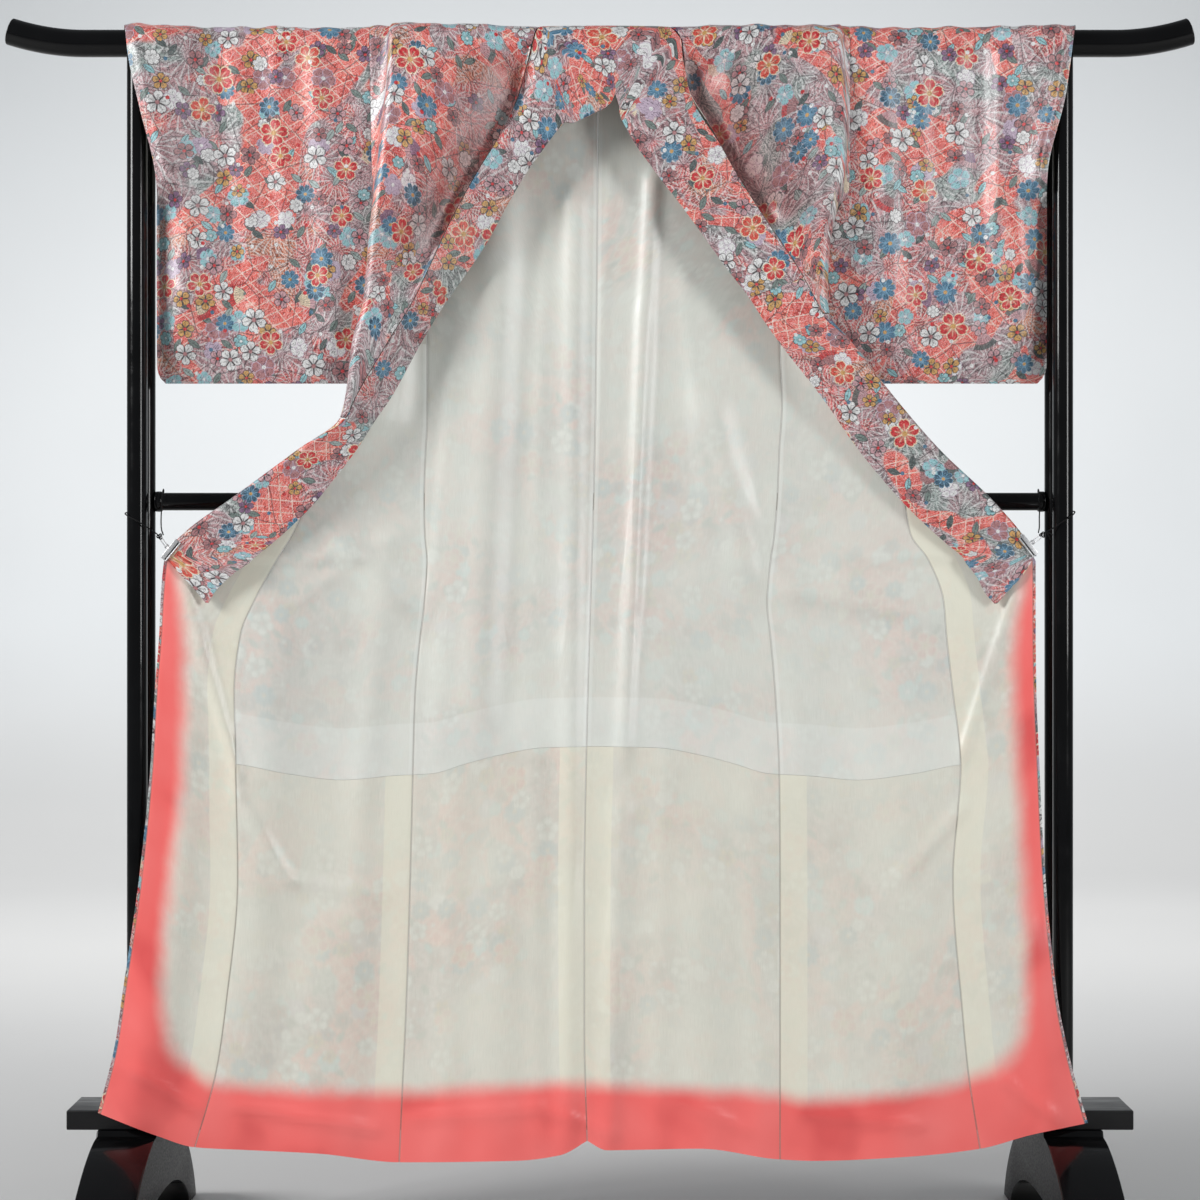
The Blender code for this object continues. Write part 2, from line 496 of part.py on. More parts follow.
@lru_cache(maxsize=None)
def front_line(side, z):
    """Cut of the front from the side edge round the fold to the collar's free edge.

    Gives the points and the place along them of the fold's start and end, the okumi seam, the
    collar seam and the free edge."""
    table, collar = "front_" + side, "collar_" + side
    start_x, start_y = front_side(side, z)
    fold, fold_y, roll = (float(read(table, c, z)) for c in ("fold", "fold_y", "roll"))
    lead = math.radians(float(read(table, "lead", z)))
    if z < COLLAR_FOOT:
        t = np.linspace(0.0, 1.0, LINE_POINTS)
        bow = t * t * (2.0 - t)
        points = opened(side, start_x + (fold - start_x) * t, start_y + (fold_y - start_y) * bow, z)
        length = lengths(points)
        seam = float(np.interp(read("okumi_" + side, "seam", z), points[:, 0], length))
        return points, length, {"okumi": seam, "collar": length[-1], "edge": length[-1]}
    centre = np.array((fold - roll, fold_y))
    into = centre + roll * np.array((math.cos(lead), math.sin(lead)))
    begin = np.array((start_x, start_y))
    chord = into - begin
    reach = np.hypot(*chord)
    tangent = np.array((math.sin(lead), -math.cos(lead))) * reach
    flat = np.array((chord[0], 0.0))
    t = np.linspace(0.0, 1.0, LINE_POINTS)[:, None]
    under = ((1 + 2 * t) * (1 - t) ** 2 * begin + t * (1 - t) ** 2 * flat
             + t * t * (3 - 2 * t) * into + t * t * (t - 1) * tangent)
    under = opened(side, under[:, 0], under[:, 1], z) if z <= SIDE_SEAM_TOP else with_height(under, z)
    turn = np.linspace(lead, -math.pi / 2, TURN_POINTS)[1:]
    shift = under[-1, 1] - into[1]
    height = under[-1, 2]
    arc = np.column_stack((centre[0] + roll * np.cos(turn), centre[1] + shift + roll * np.sin(turn),
                           np.full(len(turn), height)))
    seam, seam_y, edge, edge_y, round_fold = (
        float(read(collar, c, z)) for c in ("seam", "seam_y", "edge", "edge_y", "turn"))
    heights = (height, float(level_heights(side, z, edge)))
    if z > TIP[side]:
        stops = (arc[-1], np.array((seam, seam_y, height)), np.array((edge, edge_y, heights[1])))
    else:
        stops = (arc[-1], np.array((edge, edge_y, heights[1])))
    over = []
    for first, last in zip(stops, stops[1:]):
        over += [first + (last - first) * s for s in np.linspace(0.0, 1.0, OVER_POINTS + 1)[1:]]
    points = np.vstack((under, arc, np.array(over)))
    length = lengths(points)
    fold_start, fold_end = length[LINE_POINTS - 1], length[LINE_POINTS + len(turn) - 1]
    if z > TIP[side]:
        collar_at = length[LINE_POINTS + len(turn) + OVER_POINTS - 1]
        okumi_at = collar_at
    else:
        collar_at = fold_end - round_fold * (fold_end - fold_start)
        seam = float(read("okumi_" + side, "seam", z))
        okumi_at = float(np.interp(seam, under[:, 0], length[:LINE_POINTS]))
    marks = {"fold_start": fold_start, "fold_end": fold_end, "okumi": okumi_at, "collar": collar_at,
             "edge": length[-1]}
    return points, length, marks


def with_height(flat, z):
    return np.column_stack((flat, np.full(len(flat), z)))


def lengths(points):
    steps = np.linalg.norm(np.diff(points, axis=0), axis=1)
    return np.concatenate(((0.0,), np.cumsum(steps)))


def along(points, length, at):
    """Point at a distance along a cut, run on straight past either end."""
    at = np.atleast_1d(np.asarray(at, dtype=float))
    found = np.column_stack([np.interp(at, length, points[:, k]) for k in range(3)])
    for end, inner, over in ((0, 1, at < length[0]), (-1, -2, at > length[-1])):
        step = points[end] - points[inner]
        unit = step / np.linalg.norm(step)
        distance = np.abs(at - length[end])[:, None]
        found = np.where(over[:, None], points[end] + unit * distance, found)
    return found


# Stretches of the cut lines that the pieces use, as fractions from the side seam inwards
def back_row(side, z, fractions, shift=0.0):
    points = back_line(side, z)
    length = lengths(points)
    start, end = length[-1] - SEAM / 2, SEAM / 2
    return along(points, length, start + (end - start) * np.asarray(fractions) + shift)


def front_row(side, z, fractions, stretch, shift=0.0):
    points, length, marks = front_line(side, z)
    start, end = stretch_ends(marks, stretch)
    return along(points, length, start + (end - start) * np.asarray(fractions) + shift)


def stretch_ends(marks, stretch):
    if stretch == "front":
        return SEAM / 2, marks["okumi"] - SEAM / 2
    if stretch == "okumi":
        return marks["okumi"] + SEAM / 2, marks["collar"]
    return marks["collar"] + COLLAR_SEAM, marks["edge"]


def neck_edge(side, angle):
    """Distance out of the body's inner edge on the rail, which runs to the centre behind the neck."""
    if angle <= NECK_BACK_ANGLE:
        return OUT[side] * float(read("centre", "x", RAIL_Z)) + SEAM / 2
    return float(read("neck_" + side, "seam", angle))


def rail_row(side, angle, fractions):
    """Row of the body over the rail; the pleat beside the sleeve seam dies away towards the back."""
    across = ease((90.0 - angle) / 180.0)
    front = front_row(side, RAIL_Z, fractions, "front")
    back = back_row(side, RAIL_Z, fractions)
    front_share = (front[:, 0] - front[0, 0]) / (front[-1, 0] - front[0, 0])
    back_share = (back[:, 0] - back[0, 0]) / (back[-1, 0] - back[0, 0])
    share = front_share + (back_share - front_share) * across
    outer = front[0, 0] + (back[0, 0] - front[0, 0]) * across
    inner = neck_edge(side, angle)
    lift = np.maximum(0.0, -front[:, 1] - DRAPE_RADIUS) * (1.0 - across) ** PLEAT_FADE
    return over_rail(outer + (inner - outer) * share, angle, lift)


def over_rail(out, angle, lift):
    a = math.radians(angle)
    radius = DRAPE_RADIUS + lift
    return np.column_stack((out, -radius * math.sin(a), RAIL_Z + radius * math.cos(a)))


# Walls
def seen_from_front(side, points):
    """Put points where the eye in front sees them, and give the left or right side its sign."""
    scale = 1.0 + points[..., 1] / EYE_DISTANCE
    placed = points.copy()
    placed[..., 0] = OUT[side] * points[..., 0] * scale
    below = np.minimum(points[..., 2] - EYE_Z, 0.0)
    placed[..., 2] = points[..., 2] + below * (scale - 1.0)
    return placed


def unit(vectors):
    return vectors / np.maximum(np.linalg.norm(vectors, axis=-1, keepdims=True), 1e-12)


def cell_triangles(reference, i, j, k):
    """Two triangles of a cell, cut from its upper outer corner to its lower inner corner."""
    if reference[i, j, 2] > reference[i + 1, k, 2]:
        return ((i, j), (i, k), (i + 1, k)), ((i, j), (i + 1, k), (i + 1, j))
    return ((i, j), (i, k), (i + 1, j)), ((i, k), (i + 1, k), (i + 1, j))


def wall_mesh(name, reference, low, high, closed=False, present=None):
    """Closed wall between two grids laid off one reference grid.

    closed joins the last column to the first; present(i, j) leaves cells out of the wall."""
    rows, columns = reference.shape[:2]
    form = bmesh.new()
    corners = {}

    def corner(layer, place):
        key = (layer, place)
        if key not in corners:
            corners[key] = form.verts.new((low, high)[layer][place])
        return corners[key]

    rims = {}
    for i in range(rows - 1):
        for j in range(columns if closed else columns - 1):
            if present and not present(i, j):
                continue
            k = (j + 1) % columns
            for triangle in cell_triangles(reference, i, j, k):
                form.faces.new([corner(0, place) for place in triangle])
                form.faces.new([corner(1, place) for place in reversed(triangle)])
            around = ((i, j), (i, k), (i + 1, k), (i + 1, j))
            for a, b in zip(around, around[1:] + around[:1]):
                rims[frozenset((a, b))] = rims.get(frozenset((a, b)), 0) + 1
    for rim, count in rims.items():
        if count == 1:
            a, b = sorted(rim)
            form.faces.new((corner(0, a), corner(0, b), corner(1, b), corner(1, a)))
    bmesh.ops.recalc_face_normals(form, faces=form.faces)
    mesh = bpy.data.meshes.new(name)
    form.to_mesh(mesh)
    form.free()
    mesh.shade_smooth()
    mesh.set_sharp_from_angle(angle=math.radians(50))
    return mesh


def make_material(name, colour, roughness, metallic=0.0):
    material = bpy.data.materials.new(name)
    material.use_nodes = True
    shader = material.node_tree.nodes["Principled BSDF"]
    shader.inputs["Base Color"].default_value = (*colour, 1.0)
    shader.inputs["Roughness"].default_value = roughness
    shader.inputs["Metallic"].default_value = metallic
    return material


def add_object(name, data, colour, roughness, metallic=0.0):
    item = bpy.data.objects.new(name, data)
    parts.objects.link(item)
    data.materials.append(make_material(name, colour, roughness, metallic))
    return item


def facing(side, row_step, column_step):
    """Direction of the cloth's outside, from a step along the warp and a step along the cut."""
    return OUT[side] * unit(np.cross(row_step, column_step))


def front_normals(side, z, fractions, stretch):
    """Outside of the cloth along a cut of the front, the same for both pieces that meet at a seam."""
    ahead = seen_from_front(side, front_row(side, z, fractions, stretch, TANGENT_STEP))
    behind = seen_from_front(side, front_row(side, z, fractions, stretch, -TANGENT_STEP))
    return facing(side, warp_step(side, z, fractions, stretch), ahead - behind)


def warp_step(side, z, fractions, stretch):
    """Step up the cloth, kept to one side of the heights where the cut changes its kind."""
    top = min(z + LEVEL_STEP, RAIL_Z)
    bottom = max(z - LEVEL_STEP, HEM)
    if z > TIP[side]:
        bottom = max(bottom, TIP[side] + JUST_ABOVE)
    else:
        top = min(top, TIP[side])
    if z >= COLLAR_FOOT:
        bottom = max(bottom, COLLAR_FOOT)
    else:
        top = min(top, COLLAR_FOOT - JUST_ABOVE)
    upper = seen_from_front(side, front_row(side, top, fractions, stretch))
    lower = seen_from_front(side, front_row(side, bottom, fractions, stretch))
    return upper - lower


def back_normals(side, z, fractions):
    ahead = seen_from_front(side, back_row(side, z, fractions, TANGENT_STEP))
    behind = seen_from_front(side, back_row(side, z, fractions, -TANGENT_STEP))
    upper = seen_from_front(side, back_row(side, min(z + LEVEL_STEP, RAIL_Z), fractions))
    lower = seen_from_front(side, back_row(side, max(z - LEVEL_STEP, HEM), fractions))
    normals = facing(side, upper - lower, ahead - behind)
    at_centre = np.asarray(fractions) == 1.0
    normals[at_centre, 0] = 0.0
    return unit(normals)


def grid_normals(side, grid, sign=1.0):
    """Outside of a grid whose rows run along the cloth and whose columns run across it."""
    rows = np.gradient(grid, axis=0)
    columns = np.gradient(grid, axis=1)
    return sign * OUT[side] * unit(np.cross(rows, columns))


# Columns of the pieces
EVEN_BODY = np.linspace(0.0, 1.0, BODY_COLUMNS + 1)
EVEN_BEHIND = np.linspace(0.0, 1.0, BEHIND_FOLD + 1)
EVEN_OKUMI = np.linspace(0.0, 1.0, OKUMI_COLUMNS_WIDE + 1)


def front_fractions(side, z):
    """Columns across the front above the tip: behind the fold, round it, and on the part before it."""
    marks = front_line(side, z)[2]
    start, end = stretch_ends(marks, "front")
    first = (marks["fold_start"] - start) / (end - start)
    last = (marks["fold_end"] - start) / (end - start)
    if last > 0.999:
        return np.concatenate((np.linspace(0.0, first, BEHIND_FOLD + 1),
                               np.linspace(first, 1.0, ROUND_FOLD + AFTER_FOLD + 1)[1:]))
    return np.concatenate((np.linspace(0.0, first, BEHIND_FOLD + 1),
                           np.linspace(first, last, ROUND_FOLD + 1)[1:],
                           np.linspace(last, 1.0, AFTER_FOLD + 1)[1:]))


def behind_fractions(side, z):
    """Columns of the front's part behind the fold, up to the fold above the tip, to the seam below it."""
    if z <= TIP[side]:
        return EVEN_BEHIND
    marks = front_line(side, z)[2]
    start, end = stretch_ends(marks, "front")
    return EVEN_BEHIND * (marks["fold_start"] - start) / (end - start)


def levels_below_armhole(side):
    return OPEN_LEVELS + FOLD_LEVELS[side] + LOWER_LEVELS


def make_body(side):
    """Front and back in one length of cloth, over the rail without a shoulder seam."""
    levels = ARMHOLE_LEVELS + levels_below_armhole(side)
    rows = [back_row(side, z, EVEN_BODY) for z in reversed(levels)]
    normals = [back_normals(side, z, EVEN_BODY) for z in reversed(levels)]
    top = front_fractions(side, RAIL_Z)
    for angle in reversed(BODY_ANGLES):
        rows.append(rail_row(side, angle, top + (EVEN_BODY - top) * ease((90.0 - angle) / 180.0)))
        normals.append(None)
    last_wide = 0
    for z in sorted(levels + (TIP[side],), reverse=True):
        if z > TIP[side]:
            fractions = front_fractions(side, z)
            last_wide = len(rows)
        else:
            fractions = np.concatenate((EVEN_BEHIND, np.ones(ROUND_FOLD + AFTER_FOLD)))
        rows.append(front_row(side, z, fractions, "front"))
        normals.append(front_normals(side, z, fractions, "front"))
    grid = seen_from_front(side, np.array(rows))
    smooth = grid_normals(side, grid, -1.0)
    for i, row in enumerate(normals):
        if row is not None:
            smooth[i] = row
    mesh = wall_mesh("body_" + side, grid, grid + smooth * SEAM / 2, grid + smooth * (SEAM / 2 + CLOTH),
                     present=lambda i, j: i < last_wide or j < BEHIND_FOLD)
    return add_object("body_" + side, mesh, CORAL, 0.45)


def sheet_piece(name, row, normal, levels, low, high, colour):
    """One piece between two levels; low and high are its faces off the cut line."""
    grid = np.array([row(z) for z in levels])
    out = np.array([normal(z) for z in levels])
    return add_object(name, wall_mesh(name, grid, grid + out * low, grid + out * high), colour, 0.5)


def front_piece(name, side, levels, columns, stretch, low, high, colour):
    """Piece of the front; columns(z) gives its columns at a level."""
    return sheet_piece(name, lambda z: seen_from_front(side, front_row(side, z, columns(z), stretch)),
                       lambda z: front_normals(side, z, columns(z), stretch), levels, low, high, colour)


def back_piece(name, side, levels, low, high, colour):
    return sheet_piece(name, lambda z: seen_from_front(side, back_row(side, z, EVEN_BODY)),
                       lambda z: back_normals(side, z, EVEN_BODY), levels, low, high, colour)


def make_okumi(side):
    """Narrow overlap panel, its top at the place where the front turns over."""
    levels = [TIP[side]] + [z for z in FOLD_LEVELS[side] + LOWER_LEVELS if z < TIP[side]]
    return front_piece("okumi_" + side, side, levels, lambda z: EVEN_OKUMI, "okumi",
                       SEAM / 2, SEAM / 2 + CLOTH, CORAL)


def make_linings(side):
    """White upper lining and cream lower lining, a piece behind each panel that shows its inside."""
    low, high = -SEAM / 2 - CLOTH, -SEAM / 2
    lower = [LINING_SEAM - SEAM / 2] + [z for z in LOWER_LEVELS if z < LINING_SEAM]
    upper_end = [LINING_SEAM + SEAM / 2]
    back = [z for z in ARMHOLE_LEVELS[1:] + levels_below_armhole(side) if z > LINING_SEAM]
    back_piece("lining_back_" + side, side, back + upper_end, low, high, WHITE_SILK)
    back_piece("hakkake_back_" + side, side, lower, low, high, CREAM)
    front_levels = sorted(FOLD_LEVELS[side] + LOWER_LEVELS + (TIP[side],), reverse=True)
    front = [z for z in front_levels if LINING_SEAM < z < max(TIP[side], FRONT_LINING_TOP)]
    okumi = [z for z in front_levels if z < TIP[side]]
    front_piece("lining_front_" + side, side, front + upper_end, lambda z: behind_fractions(side, z),
                "front", low, high, WHITE_SILK)
    front_piece("hakkake_front_" + side, side, lower, lambda z: EVEN_BEHIND, "front", low, high, CREAM)
    front_piece("hakkake_okumi_" + side, side, okumi, lambda z: EVEN_OKUMI, "okumi", low, high, CREAM)


# The collar
def collar_fractions(side, z):
    """Columns across the collar: three round the fold where it is turned over, the rest before it."""
    marks = front_line(side, z)[2]
    start, end = stretch_ends(marks, "collar")
    split = (marks["fold_end"] - start) / (end - start)
    if split < 0.02:
        return np.linspace(0.0, 1.0, COLLAR_WIDE + 1)
    return np.concatenate((np.linspace(0.0, split, ROUND_FOLD + 1),
                           np.linspace(split, 1.0, COLLAR_WIDE - ROUND_FOLD + 1)[1:]))


def collar_rows(side):
    """Rows of one half of the collar, from its cut end up the front, over the rail to the centre.

    The second list has the outside of the cloth for the rows that follow the fronts."""
    rows, normals = [], []
    even = np.linspace(0.0, 1.0, COLLAR_WIDE + 1)
    for z, start, edge, depth in reversed(COLLAR_END[side]):
        out = start + (edge - start) * np.maximum(0.0, even - COLLAR_END_FROM) / (1.0 - COLLAR_END_FROM)
        rows.append(seen_from_front(side, with_height(np.column_stack((out, np.full(len(out), depth))), z)))
        normals.append(None)
    for z in sorted(set(FOLD_LEVELS[side] + OPEN_LEVELS + ARMHOLE_LEVELS[3:] + (TIP[side],))):
        fractions = collar_fractions(side, z)
        rows.append(seen_from_front(side, front_row(side, z, fractions, "collar")))
        normals.append(front_normals(side, z, fractions, "collar"))
    foot = NECK[side][0]
    for z, share, lift in NECK_FOOT:
        seam = float(read("collar_" + side, "seam", z))
        edge = (foot[2] + (NECK_FOOT_EDGE[side][0] - foot[2]) * share,
                foot[3] + (NECK_FOOT_EDGE[side][1] - foot[3]) * share)
        rows.append(seen_from_front(side, neck_row((seam, z), edge, lift)))
        normals.append(None)
    for angle, seam, edge_x, edge_z in NECK[side]:
        rows.append(seen_from_front(side, neck_row((seam, angle), (edge_x, edge_z), NECK_LIFT)))
        normals.append(None)
    return rows, normals


def drape_length(where):
    """Distance over the rail from its top, positive to the front, of an angle or of a height."""
    if where < 1.0 or where > 1.7:
        return math.radians(where) * DRAPE_RADIUS
    return math.pi / 2 * DRAPE_RADIUS + RAIL_Z - where


def neck_row(seam, edge, lift):
    """Row of the collar from its seam over the rail down to its free edge."""
    start = (seam[0], drape_length(seam[1]))
    end = (edge[0], drape_length(edge[1]))
    inset = NECK_SEAM / math.hypot(end[0] - start[0], end[1] - start[1])
    quarter = math.pi / 2 * DRAPE_RADIUS
    bend = inset + (1.0 - inset) * max(0.0, (quarter - start[1]) / (end[1] - start[1]))
    on_rail = NECK_ON_RAIL if bend > 2 * inset else 0
    shares = np.linspace(inset, bend, on_rail + 1)
    if on_rail:
        shares = np.concatenate((shares, np.linspace(bend, 1.0, COLLAR_WIDE - on_rail + 1)[1:]))
    else:
        shares = np.linspace(inset, 1.0, COLLAR_WIDE + 1)
    row = []
    for share in shares:
        out = start[0] + (end[0] - start[0]) * share
        run = start[1] + (end[1] - start[1]) * share
        rise = COLLAR_HALF + SEAM + lift * ease(share * NECK_LIFT_RISE)
        if run <= quarter:
            a = run / DRAPE_RADIUS
            radius = DRAPE_RADIUS + rise
            row.append((out, -radius * math.sin(a), RAIL_Z + radius * math.cos(a)))
        else:
            row.append((out, -DRAPE_RADIUS - rise, RAIL_Z - (run - quarter)))
    return np.array(row)


def make_collar():
    """Collar in one length, with the over-collar that covers its neck and chest."""
    left, left_out = collar_rows("left")
    right, right_out = collar_rows("right")
    grid = np.array(left + right[-2::-1])
    given = left_out + right_out[-2::-1]
    normals = unit(np.cross(np.gradient(grid, axis=1), np.gradient(grid, axis=0)))
    for i, row in enumerate(given):
        if row is not None:
            normals[i] = row
    ends = len(COLLAR_END["left"])
    whole = range(ends, len(grid) - 1 - ends)
    mesh = wall_mesh("collar", grid, grid - normals * COLLAR_HALF, grid + normals * COLLAR_HALF,
                     present=lambda i, j: i in whole or j >= ROUND_FOLD)
    add_object("collar", mesh, CORAL, 0.45)
    reach = [i for i in range(len(grid)) if grid[i, 0, 2] > OVER_COLLAR_END]
    low = COLLAR_HALF + SEAM
    upper, out = grid[reach], normals[reach]
    mesh = wall_mesh("over_collar", upper, upper + out * low, upper + out * (low + CLOTH))
    add_object("over_collar", mesh, CORAL, 0.45)


# The sleeves
def sleeve_half(side, out, z):
    """Half of the distance between the sleeve's layers at a place."""
    half = read("sleeve_depth", "half", z)
    centre, rise = read("swell", "centre", z), read("swell", "rise", z)
    half = half + rise * ease((out - centre + SWELL_LENGTH) / SWELL_LENGTH)
    closing = ease((CUFF_OPENING_END - z) / CUFF_CLOSING_HEIGHT)
    closed = closing * (1.0 - ease((read("cuff_" + side, "out", z) - out) / CUFF_CLOSING_LENGTH))
    return CUFF_CLOSED_HALF + (half - CUFF_CLOSED_HALF) * (1.0 - closed)


def sleeve_inner(side, z, layer):
    """Distance out of the sleeve's inner edge on its front or back layer."""
    edge = front_side if layer == "front" else back_side
    if z >= ARMHOLE_END:
        return edge(side, z)[0] + SEAM / 2
    if layer == "front":
        return float(read("furi_" + side, "out", z))
    return edge(side, ARMHOLE_END)[0] + SEAM / 2 + FURI_CLEARANCE


def sleeve_ring(side, share):
    """Ring round the sleeve at a share of its width: up the back, over the rail, down the front."""
    ring = []

    def hang(z, layer):
        inner = sleeve_inner(side, z, layer)
        out = inner + (read("cuff_" + side, "out", z) - inner) * share
        half = sleeve_half(side, out, z)
        if layer == "back":
            ring.append((out * (1.0 - 2.0 * share * half / EYE_DISTANCE), half, z))
        else:
            ring.append((out, -half, z))

    outer = read("cuff_" + side, "out", SLEEVE_BOTTOM)
    inner = sleeve_inner(side, SLEEVE_BOTTOM, "back")
    ring.append((inner + (outer - inner) * share, 0.0, SLEEVE_BOTTOM))
    for z in reversed(SLEEVE_LEVELS):
        hang(z, "back")
    for angle in reversed(RAIL_ANGLES):
        across = ease((90.0 - angle) / 180.0)
        front, back = sleeve_inner(side, RAIL_Z, "front"), sleeve_inner(side, RAIL_Z, "back")
        inner = front + (back - front) * across
        top = read("cuff_" + side, "out", 1.700)
        low = read("cuff_" + side, "out", RAIL_Z)
        outer = low + (top - low) * math.cos(math.radians(angle))
        out = inner + (outer - inner) * share
        half = float(sleeve_half(side, out, RAIL_Z))
        a = math.radians(angle)
        flat = math.copysign(abs(math.sin(a)) ** (DRAPE_RADIUS / half) ** SWELL_FLATNESS, a)
        ring.append((out, -half * flat, RAIL_Z + DRAPE_RADIUS * math.cos(a)))
    for z in SLEEVE_LEVELS:
        hang(z, "front")
    return np.array(ring)


def make_sleeve(side):
    """Sleeve in one cloth over the rail, open at the cuff's upper part and along its inner edge."""
    grid = seen_from_front(side, np.array([sleeve_ring(side, share) for share in SLEEVE_SHARES]))
    along_sleeve = np.gradient(grid, axis=0)
    round_sleeve = (np.roll(grid, -1, axis=1) - np.roll(grid, 1, axis=1)) / 2
    normals = OUT[side] * unit(np.cross(round_sleeve, along_sleeve))
    low, high = grid + normals * SEAM / 2, grid + normals * (SEAM / 2 + CLOTH)
    name = "sleeve_" + side
    mesh = wall_mesh(name, grid, low, high, closed=True)
    return add_object(name, mesh, CORAL, 0.45)


# The rack
def turned(name, profile, location, rotation, colour, roughness, metallic=0.0, steps=20):
    """Turned piece from (radius, height) points that run down its outer side."""
    mesh = bpy.data.meshes.new(name)
    mesh.from_pydata([(r, 0.0, h) for r, h in profile], [(i, i + 1) for i in range(len(profile) - 1)], [])
    item = add_object(name, mesh, colour, roughness, metallic)
    item.location = location
    item.rotation_euler = rotation
    screw = item.modifiers.new("Screw", "SCREW")
    screw.steps = steps
    screw.render_steps = steps
    screw.use_merge_vertices = True
    screw.merge_threshold = 0.0001
    screw.use_smooth_shade = True
    return item


def make_posts():
    for side, out in OUT.items():
        for place, y in (("front", -POST_Y), ("rear", POST_Y)):
            profile = [(0.0, POST_TOP)]
            for a in (25, 50, 75, 90):
                s, c = math.sin(math.radians(a)), math.cos(math.radians(a))
                profile.append((POST_RADIUS * s, POST_TOP - POST_DOME * (1 - c)))
            profile += [(POST_RADIUS, BEAM_TOP + SEAM), (0.0, BEAM_TOP + SEAM)]
            turned(f"post_{place}_{side}", profile, (out * POST_X, y, 0.0), (0.0, 0.0, 0.0), LACQUER, 0.12)
        saddle_z = RAIL_Z - RAIL_RADIUS - SEAM - SADDLE_RADIUS
        half = RAIL_RADIUS
        turned("saddle_" + side, [(0.0, half), (SADDLE_RADIUS, half), (SADDLE_RADIUS, -half), (0.0, -half)],
               (out * POST_X, 0.0, saddle_z), (math.pi / 2, 0.0, 0.0), LACQUER, 0.15, steps=12)


def tube(name, points, radius, sides_level, colour, roughness, metallic=0.0):
    """Round bar along a line of points."""
    curve = bpy.data.curves.new(name, "CURVE")
    curve.dimensions = "3D"
    curve.bevel_depth = radius
    curve.bevel_resolution = sides_level
    curve.use_fill_caps = True
    spline = curve.splines.new("POLY")
    spline.points.add(len(points) - 1)
    for point, place in zip(spline.points, points):
        point.co = (*place, 1.0)
    return add_object(name, curve, colour, roughness, metallic)


def make_rails():
    ends = [RAIL_STRAIGHT + (RAIL_HALF_LENGTH - RAIL_STRAIGHT) * i / 6 for i in range(7)]
    rise = [RAIL_END_RISE * (i / 6) ** 2 for i in range(7)]
    right = [(x, 0.0, RAIL_Z + r) for x, r in zip(ends, rise)]
    left = [(-x, y, z) for x, y, z in reversed(right)]
    tube("top_rail", left + right, RAIL_RADIUS, 7, LACQUER, 0.12)
    half = POST_X - POST_RADIUS - 0.0005
    collar = half - MID_RAIL_COLLAR_LENGTH
    profile = [(0.0, half), (MID_RAIL_COLLAR - 0.001, half), (MID_RAIL_COLLAR, half - 0.001),
               (MID_RAIL_COLLAR, collar), (MID_RAIL_RADIUS, collar - 0.001)]
    profile += [(r, -h) for r, h in reversed(profile)]
    turned("mid_rail", profile, (0.0, POST_Y, MID_RAIL_Z), (0.0, math.pi / 2, 0.0), LACQUER, 0.12)


def make_beam():
    bpy.ops.mesh.primitive_cube_add(size=1.0)
    beam = bpy.context.object
    beam.name = "base_beam"
    for collection in beam.users_collection:
        collection.objects.unlink(beam)
    parts.objects.link(beam)
    size = (2 * BEAM_HALF_LENGTH, 2 * BEAM_HALF_DEPTH, BEAM_TOP - BEAM_BOTTOM)
    beam.data.transform(Matrix.Diagonal((*size, 1.0)))
    beam.location = (0.0, 0.0, (BEAM_TOP + BEAM_BOTTOM) / 2)
    beam.data.materials.append(make_material("base_beam", LACQUER, 0.3))
    bevel = beam.modifiers.new("Bevel", "BEVEL")
    bevel.width = 0.002
    bevel.segments = 2


def make_feet():
    """Arched boards that carry the beam and stand on flat pads at front and back."""
    half = FOOT_TOP + FOOT_UNDER
    outline = list(half) + [(-y, z) for y, z in reversed(half[1:-1])]
    for side, out in OUT.items():
        curve = bpy.data.curves.new("foot_" + side, "CURVE")
        curve.dimensions = "2D"
        curve.fill_mode = "BOTH"
        curve.extrude = FOOT_WIDTH / 2
        spline = curve.splines.new("POLY")
        spline.points.add(len(outline) - 1)
        for point, (y, z) in zip(spline.points, outline):
            point.co = (y, z, 0.0, 1.0)
        spline.use_cyclic_u = True
        foot = add_object("foot_" + side, curve, LACQUER, 0.15)
        foot.location = (out * FOOT_X, 0.0, 0.0)
        foot.rotation_euler = (math.pi / 2, 0.0, math.pi / 2)


# Clips and cords
def edge_frame(side):
    """Place and directions of the collar's outer edge at the clip: point, along the edge, inwards."""
    z = CLIP_CENTRE[side]
    places = []
    for level in (z - 0.008, z + 0.008, z):
        fold = float(read("front_" + side, "fold", level))
        depth = float(read("front_" + side, "fold_y", level))
        places.append(seen_from_front(side, np.array((fold, depth, level))))
    run = Vector(places[1] - places[0]).normalized()
    inwards = run.cross(Vector((0.0, 1.0, 0.0))) * OUT[side]
    if inwards.x * OUT[side] > 0:
        inwards.negate()
    return Vector(places[2]), run, inwards


